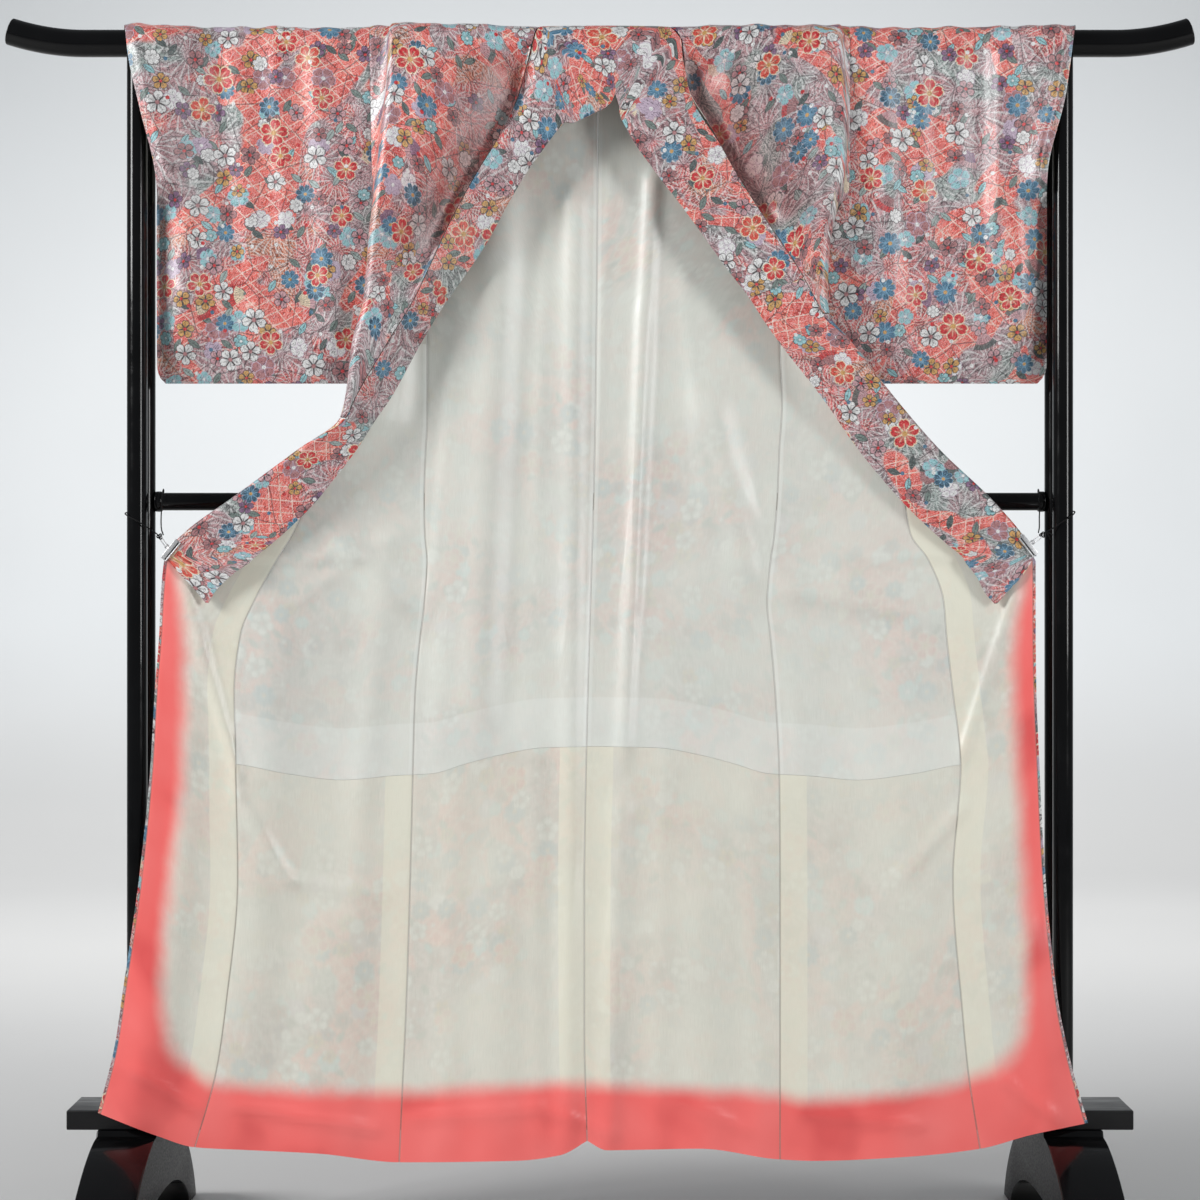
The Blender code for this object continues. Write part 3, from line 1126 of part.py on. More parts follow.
def make_clips():
    for side in OUT:
        centre, run, inwards = edge_frame(side)
        roll = float(read("front_" + side, "roll", CLIP_CENTRE[side]))
        hold = roll + COLLAR_HALF + SEAM + CLIP_SLACK
        spine = COLLAR_HALF + SEAM + CLIP_SLACK
        depth = Vector((0.0, 1.0, 0.0))
        outline = ((-CLIP_REACH, -hold), (spine, -hold), (spine, hold), (-CLIP_REACH, hold),
                   (-CLIP_REACH, hold + CLIP_WALL), (spine + CLIP_WALL, hold + CLIP_WALL),
                   (spine + CLIP_WALL, -hold - CLIP_WALL), (-CLIP_REACH, -hold - CLIP_WALL))
        form = bmesh.new()
        ends = []
        for end in (-CLIP_LENGTH / 2, CLIP_LENGTH / 2):
            middle = centre + run * end
            ends.append([form.verts.new(middle - inwards * out + depth * y) for out, y in outline])
        form.faces.new(ends[0])
        form.faces.new(ends[1])
        for i in range(len(outline)):
            k = (i + 1) % len(outline)
            form.faces.new((ends[0][i], ends[0][k], ends[1][k], ends[1][i]))
        bmesh.ops.recalc_face_normals(form, faces=form.faces)
        mesh = bpy.data.meshes.new("clip_" + side)
        form.to_mesh(mesh)
        form.free()
        add_object("clip_" + side, mesh, STEEL, 0.25, 1.0)
        out = spine + CLIP_WALL + SEAM + RING_RADIUS + RING_WIRE
        bpy.ops.mesh.primitive_torus_add(major_radius=RING_RADIUS, minor_radius=RING_WIRE,
                                         major_segments=14, minor_segments=6)
        ring = bpy.context.object
        ring.name = "ring_" + side
        for collection in ring.users_collection:
            collection.objects.unlink(ring)
        parts.objects.link(ring)
        ring.location = centre - inwards * out
        ring.rotation_euler = (math.pi / 2, 0.0, 0.0)
        ring.data.materials.append(make_material("ring_" + side, STEEL, 0.25, 1.0))


def smooth_route(points, step):
    """Points at even steps along a smooth curve through a route's own points."""
    route = np.array([points[0]] + list(points) + [points[-1]])
    fine = []
    for i in range(len(route) - 3):
        p0, p1, p2, p3 = route[i:i + 4]
        for t in np.linspace(0.0, 1.0, 12, endpoint=False):
            fine.append(0.5 * (2 * p1 + (p2 - p0) * t + (2 * p0 - 5 * p1 + 4 * p2 - p3) * t ** 2
                               + (3 * p1 - p0 - 3 * p2 + p3) * t ** 3))
    fine.append(route[-1])
    fine = np.array(fine)
    length = lengths(fine)
    places = np.linspace(0.0, length[-1], int(length[-1] / step) + 1)
    return np.column_stack([np.interp(places, length, fine[:, k]) for k in range(3)])


def make_cords():
    for side, out in OUT.items():
        route = [(out * x, y, z) for x, y, z in CORD_ROUTE[side]]
        tube("cord_" + side, smooth_route(route, CORD_STEP), CORD_RADIUS, 1, CORD_BLACK, 0.6)


for old in list(bpy.data.objects):
    bpy.data.objects.remove(old, do_unlink=True)
parts = bpy.data.collections.new("kimono on rack")
bpy.context.scene.collection.children.link(parts)

for name_of_side in OUT:
    make_body(name_of_side)
    make_okumi(name_of_side)
    make_sleeve(name_of_side)
    make_linings(name_of_side)
make_collar()
make_posts()
make_rails()
make_beam()
make_feet()
make_clips()
make_cords()
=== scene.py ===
"""Looks of a komon kimono hanging open on a black lacquer kimono rack. Metres, +Z up, -Y is the front.

Left and right are as seen from the front. The cloth is made as in the solids: each level of the garment
is one cut line, and each sewn piece is a stretch of that line. Here it is followed in finer steps, with
small creases, sunk seams and the materials that the solids leave out.
"""
import math
from functools import lru_cache, partialmethod

import bmesh
import bpy
import numpy as np
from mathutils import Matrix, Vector


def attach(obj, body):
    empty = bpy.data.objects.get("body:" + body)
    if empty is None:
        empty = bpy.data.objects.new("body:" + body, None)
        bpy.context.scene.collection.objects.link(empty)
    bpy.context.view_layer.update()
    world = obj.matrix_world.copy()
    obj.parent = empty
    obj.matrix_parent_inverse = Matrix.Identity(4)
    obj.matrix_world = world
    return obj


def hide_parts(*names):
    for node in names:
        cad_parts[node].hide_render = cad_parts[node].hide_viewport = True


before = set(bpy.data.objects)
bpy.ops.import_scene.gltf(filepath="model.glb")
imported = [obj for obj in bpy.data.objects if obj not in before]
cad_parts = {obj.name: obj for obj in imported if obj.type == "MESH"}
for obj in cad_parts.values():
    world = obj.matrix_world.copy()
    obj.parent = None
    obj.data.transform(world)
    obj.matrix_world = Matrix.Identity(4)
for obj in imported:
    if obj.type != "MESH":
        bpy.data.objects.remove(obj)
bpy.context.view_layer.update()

# The camera stands where the photograph was taken from
EYE_DISTANCE = 3.6
EYE_Z = 0.90
VIEW_WIDTH = 1.68
SENSOR_MM = 36.0

# Cloth: wall of one layer, and the gap at a seam and between two layers
CLOTH = 0.0010
SEAM = 0.0003
COLLAR_HALF = 0.00115
COLLAR_SEAM = 0.0011
NECK_SEAM = 0.0016

# The rack
RAIL_RADIUS = 0.019
RAIL_Z = 1.679
RAIL_HALF_LENGTH = 0.826
RAIL_STRAIGHT = 0.72
RAIL_END_RISE = 0.017
POST_RADIUS = 0.014
POST_X = 0.642
POST_Y = RAIL_RADIUS + SEAM + POST_RADIUS
POST_TOP = 1.674
SADDLE_RADIUS = 0.006
MID_RAIL_RADIUS = 0.0125
MID_RAIL_Z = 1.039
MID_RAIL_COLLAR = 0.0145
MID_RAIL_COLLAR_LENGTH = 0.009
BEAM_HALF_LENGTH = 0.737
BEAM_HALF_DEPTH = 0.050
BEAM_BOTTOM = 0.168
BEAM_TOP = 0.195
FOOT_X = 0.653
FOOT_WIDTH = 0.083
FOOT_ROUNDING = 0.003
BEAM_ROUNDING = 0.0022
TURNED_EDGE = 0.0012
MID_RAIL_GAP = 0.0005
RAIL_END_ROUND = 0.0015
POST_DOME = 0.008

# The cloth rides on the rail at this radius
DRAPE_RADIUS = RAIL_RADIUS + 0.0008

# Heights where the sewing changes: end of the armhole, top of the side seam, foot of the collar, hem
ARMHOLE_END = 1.468
SIDE_SEAM_TOP = 1.320
COLLAR_FOOT = 0.956
LINING_SEAM = 0.655
HEM = 0.158
SLEEVE_BOTTOM = 1.204
FRONT_LINING_TOP = 1.260
BACK_LINING_TOP = 1.650
TIP = {"left": 1.151, "right": 1.295}
OUT = {"left": -1.0, "right": 1.0}

# Tables of sizes, through which smooth curves run. The first column is where and the others are what is
# there: millimetres, and degrees or shares in the columns that PLAIN names. Distances out are from the
# middle, heights are from the floor, and depths are positive to the back.
PLAIN = ("angle", "lead", "turn")
TABLES = {
    # The front: side edge, fold where the front turns over and its depth, and radius of that fold
    "front": ("z side fold fold_y roll", {
        "left": (
            (1679, 323, 295, -28, 5), (1614, 322, 298, -35, 9), (1561, 321, 305, -38, 10),
            (1491, 319, 312, -40, 10), (1468, 317.5, 315, -40, 10), (1445, 311, 318, -40, 10),
            (1405, 298, 323, -40, 10), (1362, 277, 326, -40, 10), (1320, 255, 330, -40, 10),
            (1258, 242, 346, -39, 9), (1180, 242, 356, -37, 8), (1151, 242, 364, -35, 7),
            (1110, 244, 420, -32, 6), (1040, 246, 515, -30, 5), (991, 245, 580, -30, 4.5),
            (956, 242, 609, -31, 3.5), (894, 246, 615, -35, 0), (844, 252, 617, -38, 0),
            (760, 259, 623, -44, 0), (655, 262, 629, -51, 0), (508, 266, 644, -56, 0),
            (340, 272, 668, -60, 0), (263, 276, 679, -61, 0), (158, 281, 703, -62, 0),
        ),
        "right": (
            (1679, 350, 339, -24, 3.5), (1614, 350, 343, -27, 5), (1561, 350, 346, -29, 6),
            (1491, 349, 342, -31, 8), (1468, 348.5, 337, -32.5, 8.5), (1445, 330.5, 332, -34, 9),
            (1405, 312, 323, -37, 10), (1362, 292.5, 319, -39, 10), (1320, 264, 318, -40, 9),
            (1295, 255, 321, -39, 8), (1258, 252, 351, -37, 7), (1180, 255, 412, -34, 6),
            (1110, 251, 473, -32, 5.5), (1040, 248, 546, -30, 5), (991, 244, 588, -30, 4.5),
            (956, 239, 610, -31, 3.5), (894, 234, 610, -35, 0), (844, 239, 610, -38, 0),
            (760, 246, 611, -44, 0), (655, 251, 615, -51, 0), (508, 252, 623, -56, 0),
            (340, 252, 640, -60, 0), (263, 252, 655, -61, 0), (158, 252, 683, -62, 0),
        ),
    }),

    # Its part above the side seam: depth of the side edge, and the angle at which the cloth runs into
    # the fold
    "front_top": ("z side_y lead", {
        "left": (
            (1679, -19.8, 0), (1614, -20.5, 0), (1561, -20.5, 0), (1491, -20, 0), (1468, -19.5, 0),
            (1445, -16, 20), (1405, -9, 50), (1362, 3, 75), (1320, 16.5, 90), (1258, 16, 90),
        ),
        "right": (
            (1679, -19.8, 0), (1614, -20.5, 0), (1561, -20.5, 0), (1491, -20, 0), (1468, -19.5, 0),
            (1445, -15, 10), (1405, -8, 40), (1362, 4, 70), (1320, 16.5, 90), (1295, 16.3, 90),
        ),
    }),

    # The seam of the narrow overlap panel, from the point where it starts down to the hem
    "okumi": ("z seam", {
        "left": (
            (1151, 357), (1110, 378), (1040, 409), (991, 431), (956, 452), (894, 484), (844, 503),
            (760, 512), (655, 510), (508, 507), (340, 524), (263, 536), (158, 567),
        ),
        "right": (
            (1295, 313), (1258, 336), (1180, 377), (1110, 406), (1040, 426), (991, 435), (956, 459),
            (894, 481), (844, 485), (760, 494), (655, 505), (508, 494), (340, 507), (263, 515),
            (158, 532),
        ),
    }),

    # The collar on the fronts: seam and its depth, free edge and its depth. Below the tip the collar
    # starts on the fold itself, and the last column is how far round it.
    "collar": ("z seam seam_y edge edge_y turn", {
        "left": (
            (1679, 94, -24, 30, -24, 0), (1614, 111, -27, 45, -26, 0), (1561, 132, -31, 59, -27, 0),
            (1491, 174, -35, 105, -24, 0), (1446, 199, -38, 132, -22, 0), (1404, 220, -41, 155, -19, 0),
            (1362, 239, -43, 183, -16, 0), (1320, 259, -45, 213, -13, 0), (1258, 297, -46, 251, -12, 0),
            (1180, 343, -45, 294, -18, 0), (1151, 357, -42, 314, -22, 0), (1110, 414, -38, 340, -24, 0.6),
            (1060, 484, -36, 379, -24, 1), (1040, 510, -35, 395, -24, 1), (991, 575, -34.5, 444, -26, 1),
            (956, 605, -34.5, 484, -30, 1),
        ),
        "right": (
            (1679, 115, -24, 10, -24, 0), (1614, 123, -27, 20, -27, 0), (1561, 153, -31, 34, -29, 0),
            (1491, 192, -35, 80, -30, 0), (1446, 220, -38, 115, -30, 0), (1404, 248, -42, 146, -30, 0),
            (1362, 276, -45, 176, -30, 0), (1320, 300, -47, 209, -29, 0), (1295, 313, -47, 225, -28, 0),
            (1258, 344, -44, 251, -26, 0.45), (1180, 406, -40, 312, -24, 1),
            (1110, 467, -37.5, 361, -23, 1), (1040, 541, -35, 420, -25, 1),
            (991, 583, -34.5, 469, -27, 1), (956, 606, -34.5, 508, -31, 1),
        ),
    }),

    # The neck, from the front of one side over the rail to the centre back: angle of the collar's seam
    # round the rail (90 in front, 0 on top, below 0 behind), its distance out, and the free edge below
    "neck": ("angle seam edge_x edge_z", {
        "left": (
            (90, 94, 35, 1564), (67.5, 92, 24, 1569), (45, 89, 15, 1573), (22.5, 86, 6, 1578),
            (0, 84, -3, 1582), (-11.25, 73, -11, 1587), (-22.5, 45, -17, 1594), (-30, 0, -21, 1604),
        ),
        "right": (
            (90, 115, 31, 1566), (67.5, 110, 29, 1571), (45, 104, 28, 1575), (22.5, 98, 27, 1580),
            (0, 92, 27, 1585), (-11.25, 78, 25.5, 1590), (-22.5, 47, 24, 1596), (-30, 0, 21, 1604),
        ),
    }),

    # Side edge of the back above the side seam
    "back": ("z side side_y", {
        "left": (
            (1679, 318, 19.8), (1561, 317, 20), (1468, 315, 20), (1405, 294, 19), (1362, 273, 18),
            (1320, 255, 16.5),
        ),
        "right": (
            (1679, 345, 19.8), (1561, 344, 20), (1468, 342, 20), (1405, 316, 19), (1362, 290, 18),
            (1320, 264, 16.5),
        ),
    }),

    # The centre back seam wanders a little; x as seen from the front
    "centre": ("z x", (
        (1700, -2), (1180, -6), (965, -11), (820, -15), (655, -19), (478, -22), (300, -22), (158, -18),
    )),

    # Depth of the opened cloth: behind the rail at the top, in front of the mid rail and the base beam
    "lean": ("z y", (
        (1700, 19.8), (1550, 19.5), (1320, 16.5), (1040, 14), (894, 6), (760, -5), (655, -14), (508, -26),
        (340, -43), (263, -51.5), (205, -56.8), (158, -58),
    )),

    # Levels of the cloth sag between the seams: how far the hem and the lining seam lie off their level
    "hem": ("out drop", {
        "left": (
            (18, -15), (56, -35), (120, -43), (280, -45), (392, -33), (490, -28), (567, -24), (620, -8),
            (703, 24),
        ),
        "right": (
            (-18, -15), (10, -28), (140, -26), (252, -41), (300, -43), (420, -38), (532, -26), (602, -7),
            (683, 10),
        ),
    }),
    "lining_seam": ("out drop", (
        (0, 40), (80, 38), (140, 28), (190, 15), (235, 2), (290, -1), (360, -7), (440, 2), (510, 15),
        (620, 20),
    )),

    # The sleeve: outer edge, half of the distance between its two layers, the swell over the posts, and
    # the free inner edge of the front layer, which swings in behind the fold of the body
    "cuff": ("z out", {
        "left": (
            (1700, 666), (1656, 661), (1579, 644), (1488, 622), (1465, 620), (1228, 620), (1213, 617),
            (1204, 608),
        ),
        "right": (
            (1700, 666), (1656, 660), (1600, 652), (1488, 626), (1465, 625), (1228, 625), (1213, 621),
            (1204, 612),
        ),
    }),
    "sleeve_depth": ("z half", (
        (1700, 19.8), (1600, 20), (1450, 18), (1320, 13), (1240, 7), (1208, 3),
    )),
    "swell": ("z centre rise", (
        (1700, 622, 30.5), (1600, 622, 30.5), (1488, 618, 30), (1400, 600, 16), (1278, 574, 6),
        (1204, 560, 0),
    )),
    "furi": ("z out", {
        "left": (
            (1468, 318), (1445, 316.5), (1405, 318.5), (1320, 320), (1204, 320.6),
        ),
        "right": (
            (1468, 349), (1445, 334), (1400, 321), (1362, 317), (1320, 316), (1204, 318),
        ),
    }),

    # Soft inner edge of the coral border: distance out of its upright part, height of its lower part
    "border": ("z out", {
        "left": (
            (1000, 640), (955, 598), (900, 588), (810, 581), (640, 586), (500, 604), (355, 614),
            (100, 614),
        ),
        "right": (
            (1000, 640), (955, 600), (900, 588), (830, 578), (620, 586), (514, 592), (400, 598),
            (100, 598),
        ),
    }),
    "border_foot": ("out z", {
        "left": (
            (-30, 222), (30, 224), (280, 211), (550, 222), (580, 240), (660, 250),
        ),
        "right": (
            (-30, 222), (140, 214), (252, 206), (280, 200), (504, 221), (525, 230), (574, 242),
            (660, 250),
        ),
    }),
}


def metres(rows):
    """Rows of millimetres as rows of metres."""
    return tuple(tuple(value / 1000.0 for value in row) for row in rows)


# The largest folds of the opened cloth, each along a line from (x1, z1) to (x2, z2), then its half width
# and how far its ridge stands out to the front, all in millimetres
FOLDS = metres((
    (-140, 1460, -175, 760, 34, 13), (-98, 1360, -126, 760, 22, -3.5), (-34, 1450, -46, 160, 18, 8.5),
    (73, 1480, 34, 700, 13, 8), (30, 600, 12, 150, 16, 7), (105, 1240, 100, 950, 28, -3.5),
    (161, 1150, 203, 956, 28, 12), (285, 914, 406, 892, 18, 10), (-350, 965, -285, 900, 18, 9),
    (-455, 820, -490, 300, 40, 9), (420, 800, 440, 300, 40, 9), (-380, 400, -400, 120, 45, 11),
    (-140, 450, -150, 120, 45, 10), (140, 450, 150, 120, 45, 10), (390, 420, 410, 130, 45, 11),
    (-625, 360, -650, 180, 28, 10), (605, 400, 630, 170, 28, 10),
))

# Small creases of the opened cloth, in the same columns
CREASES = metres((
    (14, 1500, -4, 1100, 8, 1.6), (56, 1300, 50, 900, 9, 1.6), (118, 1340, 150, 1020, 10, 1.8),
    (-210, 1200, -235, 900, 10, 1.6), (-75, 1440, -88, 1050, 9, 1.4), (-400, 955, -290, 985, 10, 2.2),
    (-420, 900, -345, 955, 10, 2), (-330, 1010, -260, 960, 9, 1.6), (200, 1060, 250, 940, 10, 2),
    (330, 975, 440, 935, 10, 2), (-640, 235, -570, 190, 8, 4.2), (-500, 190, -320, 160, 8, 4.2),
    (-250, 175, -100, 185, 8, 3.4), (-90, 190, 10, 155, 8, 3), (110, 200, 200, 160, 8, 3.4),
    (570, 225, 630, 180, 8, 4.2), (290, 180, 440, 165, 8, 3.4), (-579, 910, -508, 660, 9, 6),
    (-504, 619, -437, 509, 10, 4.2), (-437, 509, -311, 487, 9, 3), (579, 900, 510, 690, 9, 5.5),
    (500, 600, 430, 520, 10, 4), (-560, 840, -600, 450, 12, 2.2), (575, 840, 600, 450, 12, 2.2),
    (-195, 1300, -225, 700, 22, 4.8), (-300, 950, -330, 660, 20, 4), (250, 1020, 285, 680, 22, 4.8),
    (340, 920, 385, 660, 20, 4), (-205, 620, -215, 160, 24, 5), (-335, 620, -350, 160, 22, 4.2),
    (215, 620, 225, 160, 24, 5), (325, 620, 345, 160, 22, 4.2), (-90, 660, -85, 160, 16, 3.4),
    (90, 660, 80, 160, 16, 3.4), (-575, 600, -610, 200, 18, 3.6), (545, 600, 575, 200, 18, 3.6),
))

# Creases of the sleeves and of the fronts beside the collar
SLEEVE_CREASES = metres((
    (-662, 1640, -590, 1270, 26, 13.2), (-560, 1700, -545, 1520, 14, 4.3),
    (-515, 1700, -480, 1300, 20, 5.8), (-455, 1700, -440, 1420, 14, 4.6),
    (-400, 1700, -375, 1280, 16, 6.5), (-570, 1320, -400, 1235, 16, 4.6),
    (-610, 1500, -520, 1360, 14, 4.3), (655, 1640, 590, 1270, 24, 12.1), (560, 1700, 555, 1360, 16, 8),
    (495, 1700, 515, 1300, 18, 7.2), (445, 1700, 455, 1400, 14, 5.8), (395, 1700, 410, 1300, 16, 7.2),
    (380, 1340, 560, 1245, 16, 4.6), (430, 1460, 540, 1360, 14, 4.3), (-245, 1660, -255, 1360, 16, 5.8),
    (-195, 1660, -230, 1460, 13, 4.3), (225, 1660, 265, 1340, 16, 6.5), (175, 1660, 205, 1460, 13, 4.3),
    (305, 1660, 315, 1400, 12, 5.1),
))

# Cut end of the collar below its foot: height, start, end and depth of the cloth that is left
COLLAR_END = {
    "left": metres((
        (938, 590, 511, -37), (915, 568, 536, -38.5), (896, 552, 548, -39.5),
    )),
    "right": metres((
        (931, 589, 528, -37.5), (911, 570, 538, -38.5), (895, 556, 552, -39.5),
    )),
}

# Route of each cord: from the ring, across the front post, round both posts, up behind the rear post,
# over the mid rail and back down to the ring. Distances out, depths and heights.
CORD_ROUTE = {
    "left": metres((
        (610.5, -33, 988), (615, -39, 992.5), (625, -47, 1000), (636, -50, 1007.5),
        (647.5, -49.2, 1013.5), (656, -42.5, 1018), (658.5, -33, 1020.5), (658.8, -5, 1022.5),
        (658.8, 25, 1025), (656, 40, 1028), (647, 48.5, 1031), (636, 51, 1035), (625.5, 50, 1040),
        (619.5, 47.5, 1047.5), (617.5, 40, 1055), (616.5, 30, 1056), (616, 19.5, 1050), (616, 16, 1040),
        (616, 12, 1027), (614.5, 0, 1012), (611.5, -15, 999), (607.5, -26.5, 992.5),
        (606.2, -31.5, 990.5),
    )),
    "right": metres((
        (613.5, -33, 990.5), (618, -39, 994), (627, -47, 1000), (636, -50, 1006), (647.5, -49.2, 1014),
        (656, -42.5, 1019.5), (658.5, -33, 1022.5), (658.8, -5, 1024.5), (658.8, 25, 1027),
        (656, 40, 1029), (647, 48.5, 1031.5), (636, 51, 1035), (625.5, 50, 1040), (621.5, 47.5, 1047.5),
        (620, 40, 1055), (619, 30, 1056), (618, 19.5, 1050), (618, 16, 1040), (617.5, 12, 1027),
        (615, 0, 1014), (612.5, -15, 1001), (609.5, -26.5, 995.5), (608.5, -31.5, 993.5),
    )),
}

# Rounding of the coral border's corner, and how far up the opened cloth sags
BORDER_CORNER = 0.030
SAG_TOP = 1.10

# The collar meets the centre seam at this angle behind the rail
NECK_BACK_ANGLE = -30.0

# Rows of the collar between the front and the neck: height of the seam, share of the way to the front's
# free edge, and how far the collar stands off the line of the front
NECK_FOOT = ((1.592, 0.75, 0.0070), (1.650, 0.30, 0.0055))
NECK_FOOT_EDGE = {"left": (0.058, 1.560), "right": (0.034, 1.560)}
NECK_GUIDE = 1.500
NECK_JOIN = 1.530
NECK_LIFT = 0.0042
NECK_LIFT_RISE = 2.5
NECK_STEPS = 6
COLLAR_END_STEPS = 4
OVER_COLLAR_END = 1.3185
OVER_COLLAR_SLANT = 3.4
SLANT_ROWS = 9
EDGE_SHARE = 0.972

# Hollow of the front along the collar, and how far the cloth runs in under the collar there
HOLLOW_DEPTH = 0.018
HOLLOW_START = 0.007
HOLLOW_WIDTH = 0.060
HOLLOW_UNDER = 0.005
UNDER_START = 0.005
UNDER_WIDTH = 0.020
HOLLOW_FADE = 0.05
HOLLOW_ROOM = 0.06

# Creases die away towards the rail, the collar and the sides of a sleeve, given as shares of its width
CREASE_RAIL_FADE = 0.02
CREASE_COLLAR_FADE = 0.03
CREASE_INNER_FADE = 0.12
CREASE_OUTER_FADE = 0.05
CREASE_BOTTOM_FADE = 0.06

# Gathers on the rail, and the pleat beside the sleeve seam, which dies away to the back
GATHER = 0.0032
GATHER_START = 0.130
GATHER_FADE = 0.03
PLEAT_FADE = 1.5

# Sleeves: swell over the posts, closed part of the cuff, and room of the free inner edge behind
SWELL_LENGTH = 0.10
SWELL_FLATNESS = 0.35
CUFF_TOP = 1.700
CUFF_OPENING_END = 1.475
CUFF_CLOSING_LENGTH = 0.045
CUFF_CLOSING_HEIGHT = 0.030
CUFF_CLOSED_HALF = 0.0003
FURI_CLEARANCE = 0.003
SLEEVE_LOWEST_ROW = 1.210

# How finely the cloth is followed: points along a cut, rows, and columns of the pieces
RAIL_ANGLES = tuple(range(84, -85, -7))
BODY_RAIL_ANGLES = 31
LINE_POINTS = 100
BACK_POINTS = 120
TURN_POINTS = 20
OVER_POINTS = 24
TANGENT_STEP = 0.003
LEVEL_STEP = 0.006
JUST_ABOVE = 1e-6
STEP_DOWN = 0.0075
ABOVE_TIP = {side: z + 0.002 for side, z in TIP.items()}
BELOW_TIP = {side: z - 0.012 for side, z in TIP.items()}
BEHIND = 44
ROUND = 12
BEFORE = 26
BODY_WIDE = BEHIND + ROUND + BEFORE
OKUMI_WIDE = 30
COLLAR_FINE = 30
COLLAR_BEND = COLLAR_FINE // 3
SLEEVE_SHARES = np.concatenate((np.linspace(0.0, 0.5, 31), np.linspace(0.5, 1.0, 51)[1:]))

# Seams sink by this much, and the edges of the collar are thinner
SEAM_DIP = 0.0006
SEAM_DIP_WIDTH = 0.0022
COLLAR_ROUNDING = 0.0005

# Place of each piece on the printed cloth
CUT_START = {"left": (0.0, 0.0), "right": (3.1, 0.63)}
SLEEVE_START = {"left": (1.6, 0.3), "right": (4.4, 1.37)}
COLLAR_START = (0.2, 0.5)
OVER_COLLAR_START = (0.37, 0.9)

# Clips and cords that hold the fronts open
CLIP_LENGTH = 0.033
CLIP_WALL = 0.0012
CLIP_REACH = 0.0065
CLIP_EDGE = 0.0004
CLIP_CENTRE = {"left": 0.970, "right": 0.976}
CLIP_SUNK = 0.0004
CLIP_SLACK = 0.0005
CLIP_SPAN = 0.008
RING_RADIUS = 0.0026
RING_WIRE = 0.0008
SHANK_WIRE = 0.0006
LINK_HALF_WIDTH = 0.0026
LINK_WIRE = 0.0007
CORD_RADIUS = 0.0009
CORD_STEP = 0.0080
TAIL_RADIUS = 0.00072
TAIL_STEP = 0.001
KNOT_SIZE = 0.0013
KNOT_TILT = 0.6
KNOT_FORWARD = 0.0015
KNOT_TAILS = {"left": (), "right": ((0.0090, -0.0040), (0.0050, -0.0105))}

# Groove and lip on the clip's face: start and end across it, how far they stand out of it, how much
# less than half of the clip's length they run, and their rounding
# The groove is painted shade: a near-black strip on the clip's face where the gap between its two bars lies
# in shade
CLIP_GROOVE = (-0.0042, -0.0026, 0.00015, 0.0012, 0.0001)
CLIP_LIP = (-0.0066, -0.0050, 0.0006, 0.0004, 0.00035)

# Half of a foot seen from the side: depth and height, from the seat of the beam out to the floor
FOOT_TOP = ((0.0, BEAM_BOTTOM - SEAM), (0.052, BEAM_BOTTOM - SEAM), (0.056, 0.160), (0.080, 0.157),
            (0.110, 0.149), (0.140, 0.138), (0.170, 0.124), (0.200, 0.107), (0.230, 0.085),
            (0.256, 0.060), (0.276, 0.036), (0.290, 0.012), (0.294, 0.0))
FOOT_UNDER = ((0.236, 0.0), (0.214, 0.022), (0.180, 0.042), (0.140, 0.056), (0.090, 0.066),
              (0.040, 0.070), (0.0, 0.071))

# Stage: colours, shape, and the area lights as name, place, target, size and power
STAGE_COLOUR = (0.76, 0.78, 0.79)
STAGE_LIGHT = (0.80, 0.82, 0.83)
# Painted shade: FLOOR_SHADE darkens the stage low down near the floor, WALL_SHADE high up on the wall
FLOOR_SHADE = (0.82, 0.795, 0.775)
WALL_SHADE = (0.76, 0.765, 0.77)
STAGE_DEPTH = 7.0
STAGE_FRONT = -9.0
STAGE_HALF_WIDTH = 10.0
STAGE_BEND = 2.5
WORLD_COLOUR = (0.90, 0.95, 1.0)
WORLD_STRENGTH = 0.22
LIGHTS = (
    ("key", (-3.6, -2.0, 2.8), (0.0, 0.0, 0.9), (1.2, 1.6), 153.0),
    ("fill", (3.4, -2.8, 1.8), (0.0, 0.0, 0.9), (0.9, 1.8), 79.0),
    ("wall", (0.0, 2.4, 3.5), (0.0, 7.0, 0.3), (6.0, 2.0), 205.0),
)


def linked(name, data):
    """Object of some data, put in the scene."""
    item = bpy.data.objects.new(name, data)
    bpy.context.scene.collection.objects.link(item)
    return item


def make_camera():
    data = bpy.data.cameras.new("camera")
    data.sensor_width = SENSOR_MM
    data.lens = SENSOR_MM * EYE_DISTANCE / VIEW_WIDTH
    camera = linked("camera", data)
    camera.location = (0.0, -EYE_DISTANCE, EYE_Z)
    camera.rotation_euler = (math.pi / 2, 0.0, 0.0)
    bpy.context.scene.camera = camera
    bpy.context.scene.view_settings.view_transform = "Standard"


# Smooth curves through the tables
def rows_of(table):
    """Column names of a table, and its rows in metres, degrees or shares."""
    name, _, side = table.rpartition("_")
    names, rows = TABLES[name if side in OUT else table]
    names = names.split()
    rows = np.array(rows[side] if side in OUT else rows, dtype=float)
    return names, rows / [1.0 if n in PLAIN else 1000.0 for n in names]


@lru_cache(maxsize=None)
def curve_through(table, column):
    """Sorted places, values and slopes of one column; the slopes keep the curve from overshooting."""
    names, rows = rows_of(table)
    rows = rows[np.argsort(rows[:, 0])]
    place, value = rows[:, 0], rows[:, names.index(column)]
    step = np.diff(place)
    rise = np.diff(value) / step
    slope = np.zeros(len(place))
    for i in range(1, len(place) - 1):
        if rise[i - 1] * rise[i] > 0.0:
            before, after = 2 * step[i] + step[i - 1], step[i] + 2 * step[i - 1]
            slope[i] = (before + after) / (before / rise[i - 1] + after / rise[i])
    slope[0], slope[-1] = rise[0], rise[-1]
    return place, value, slope


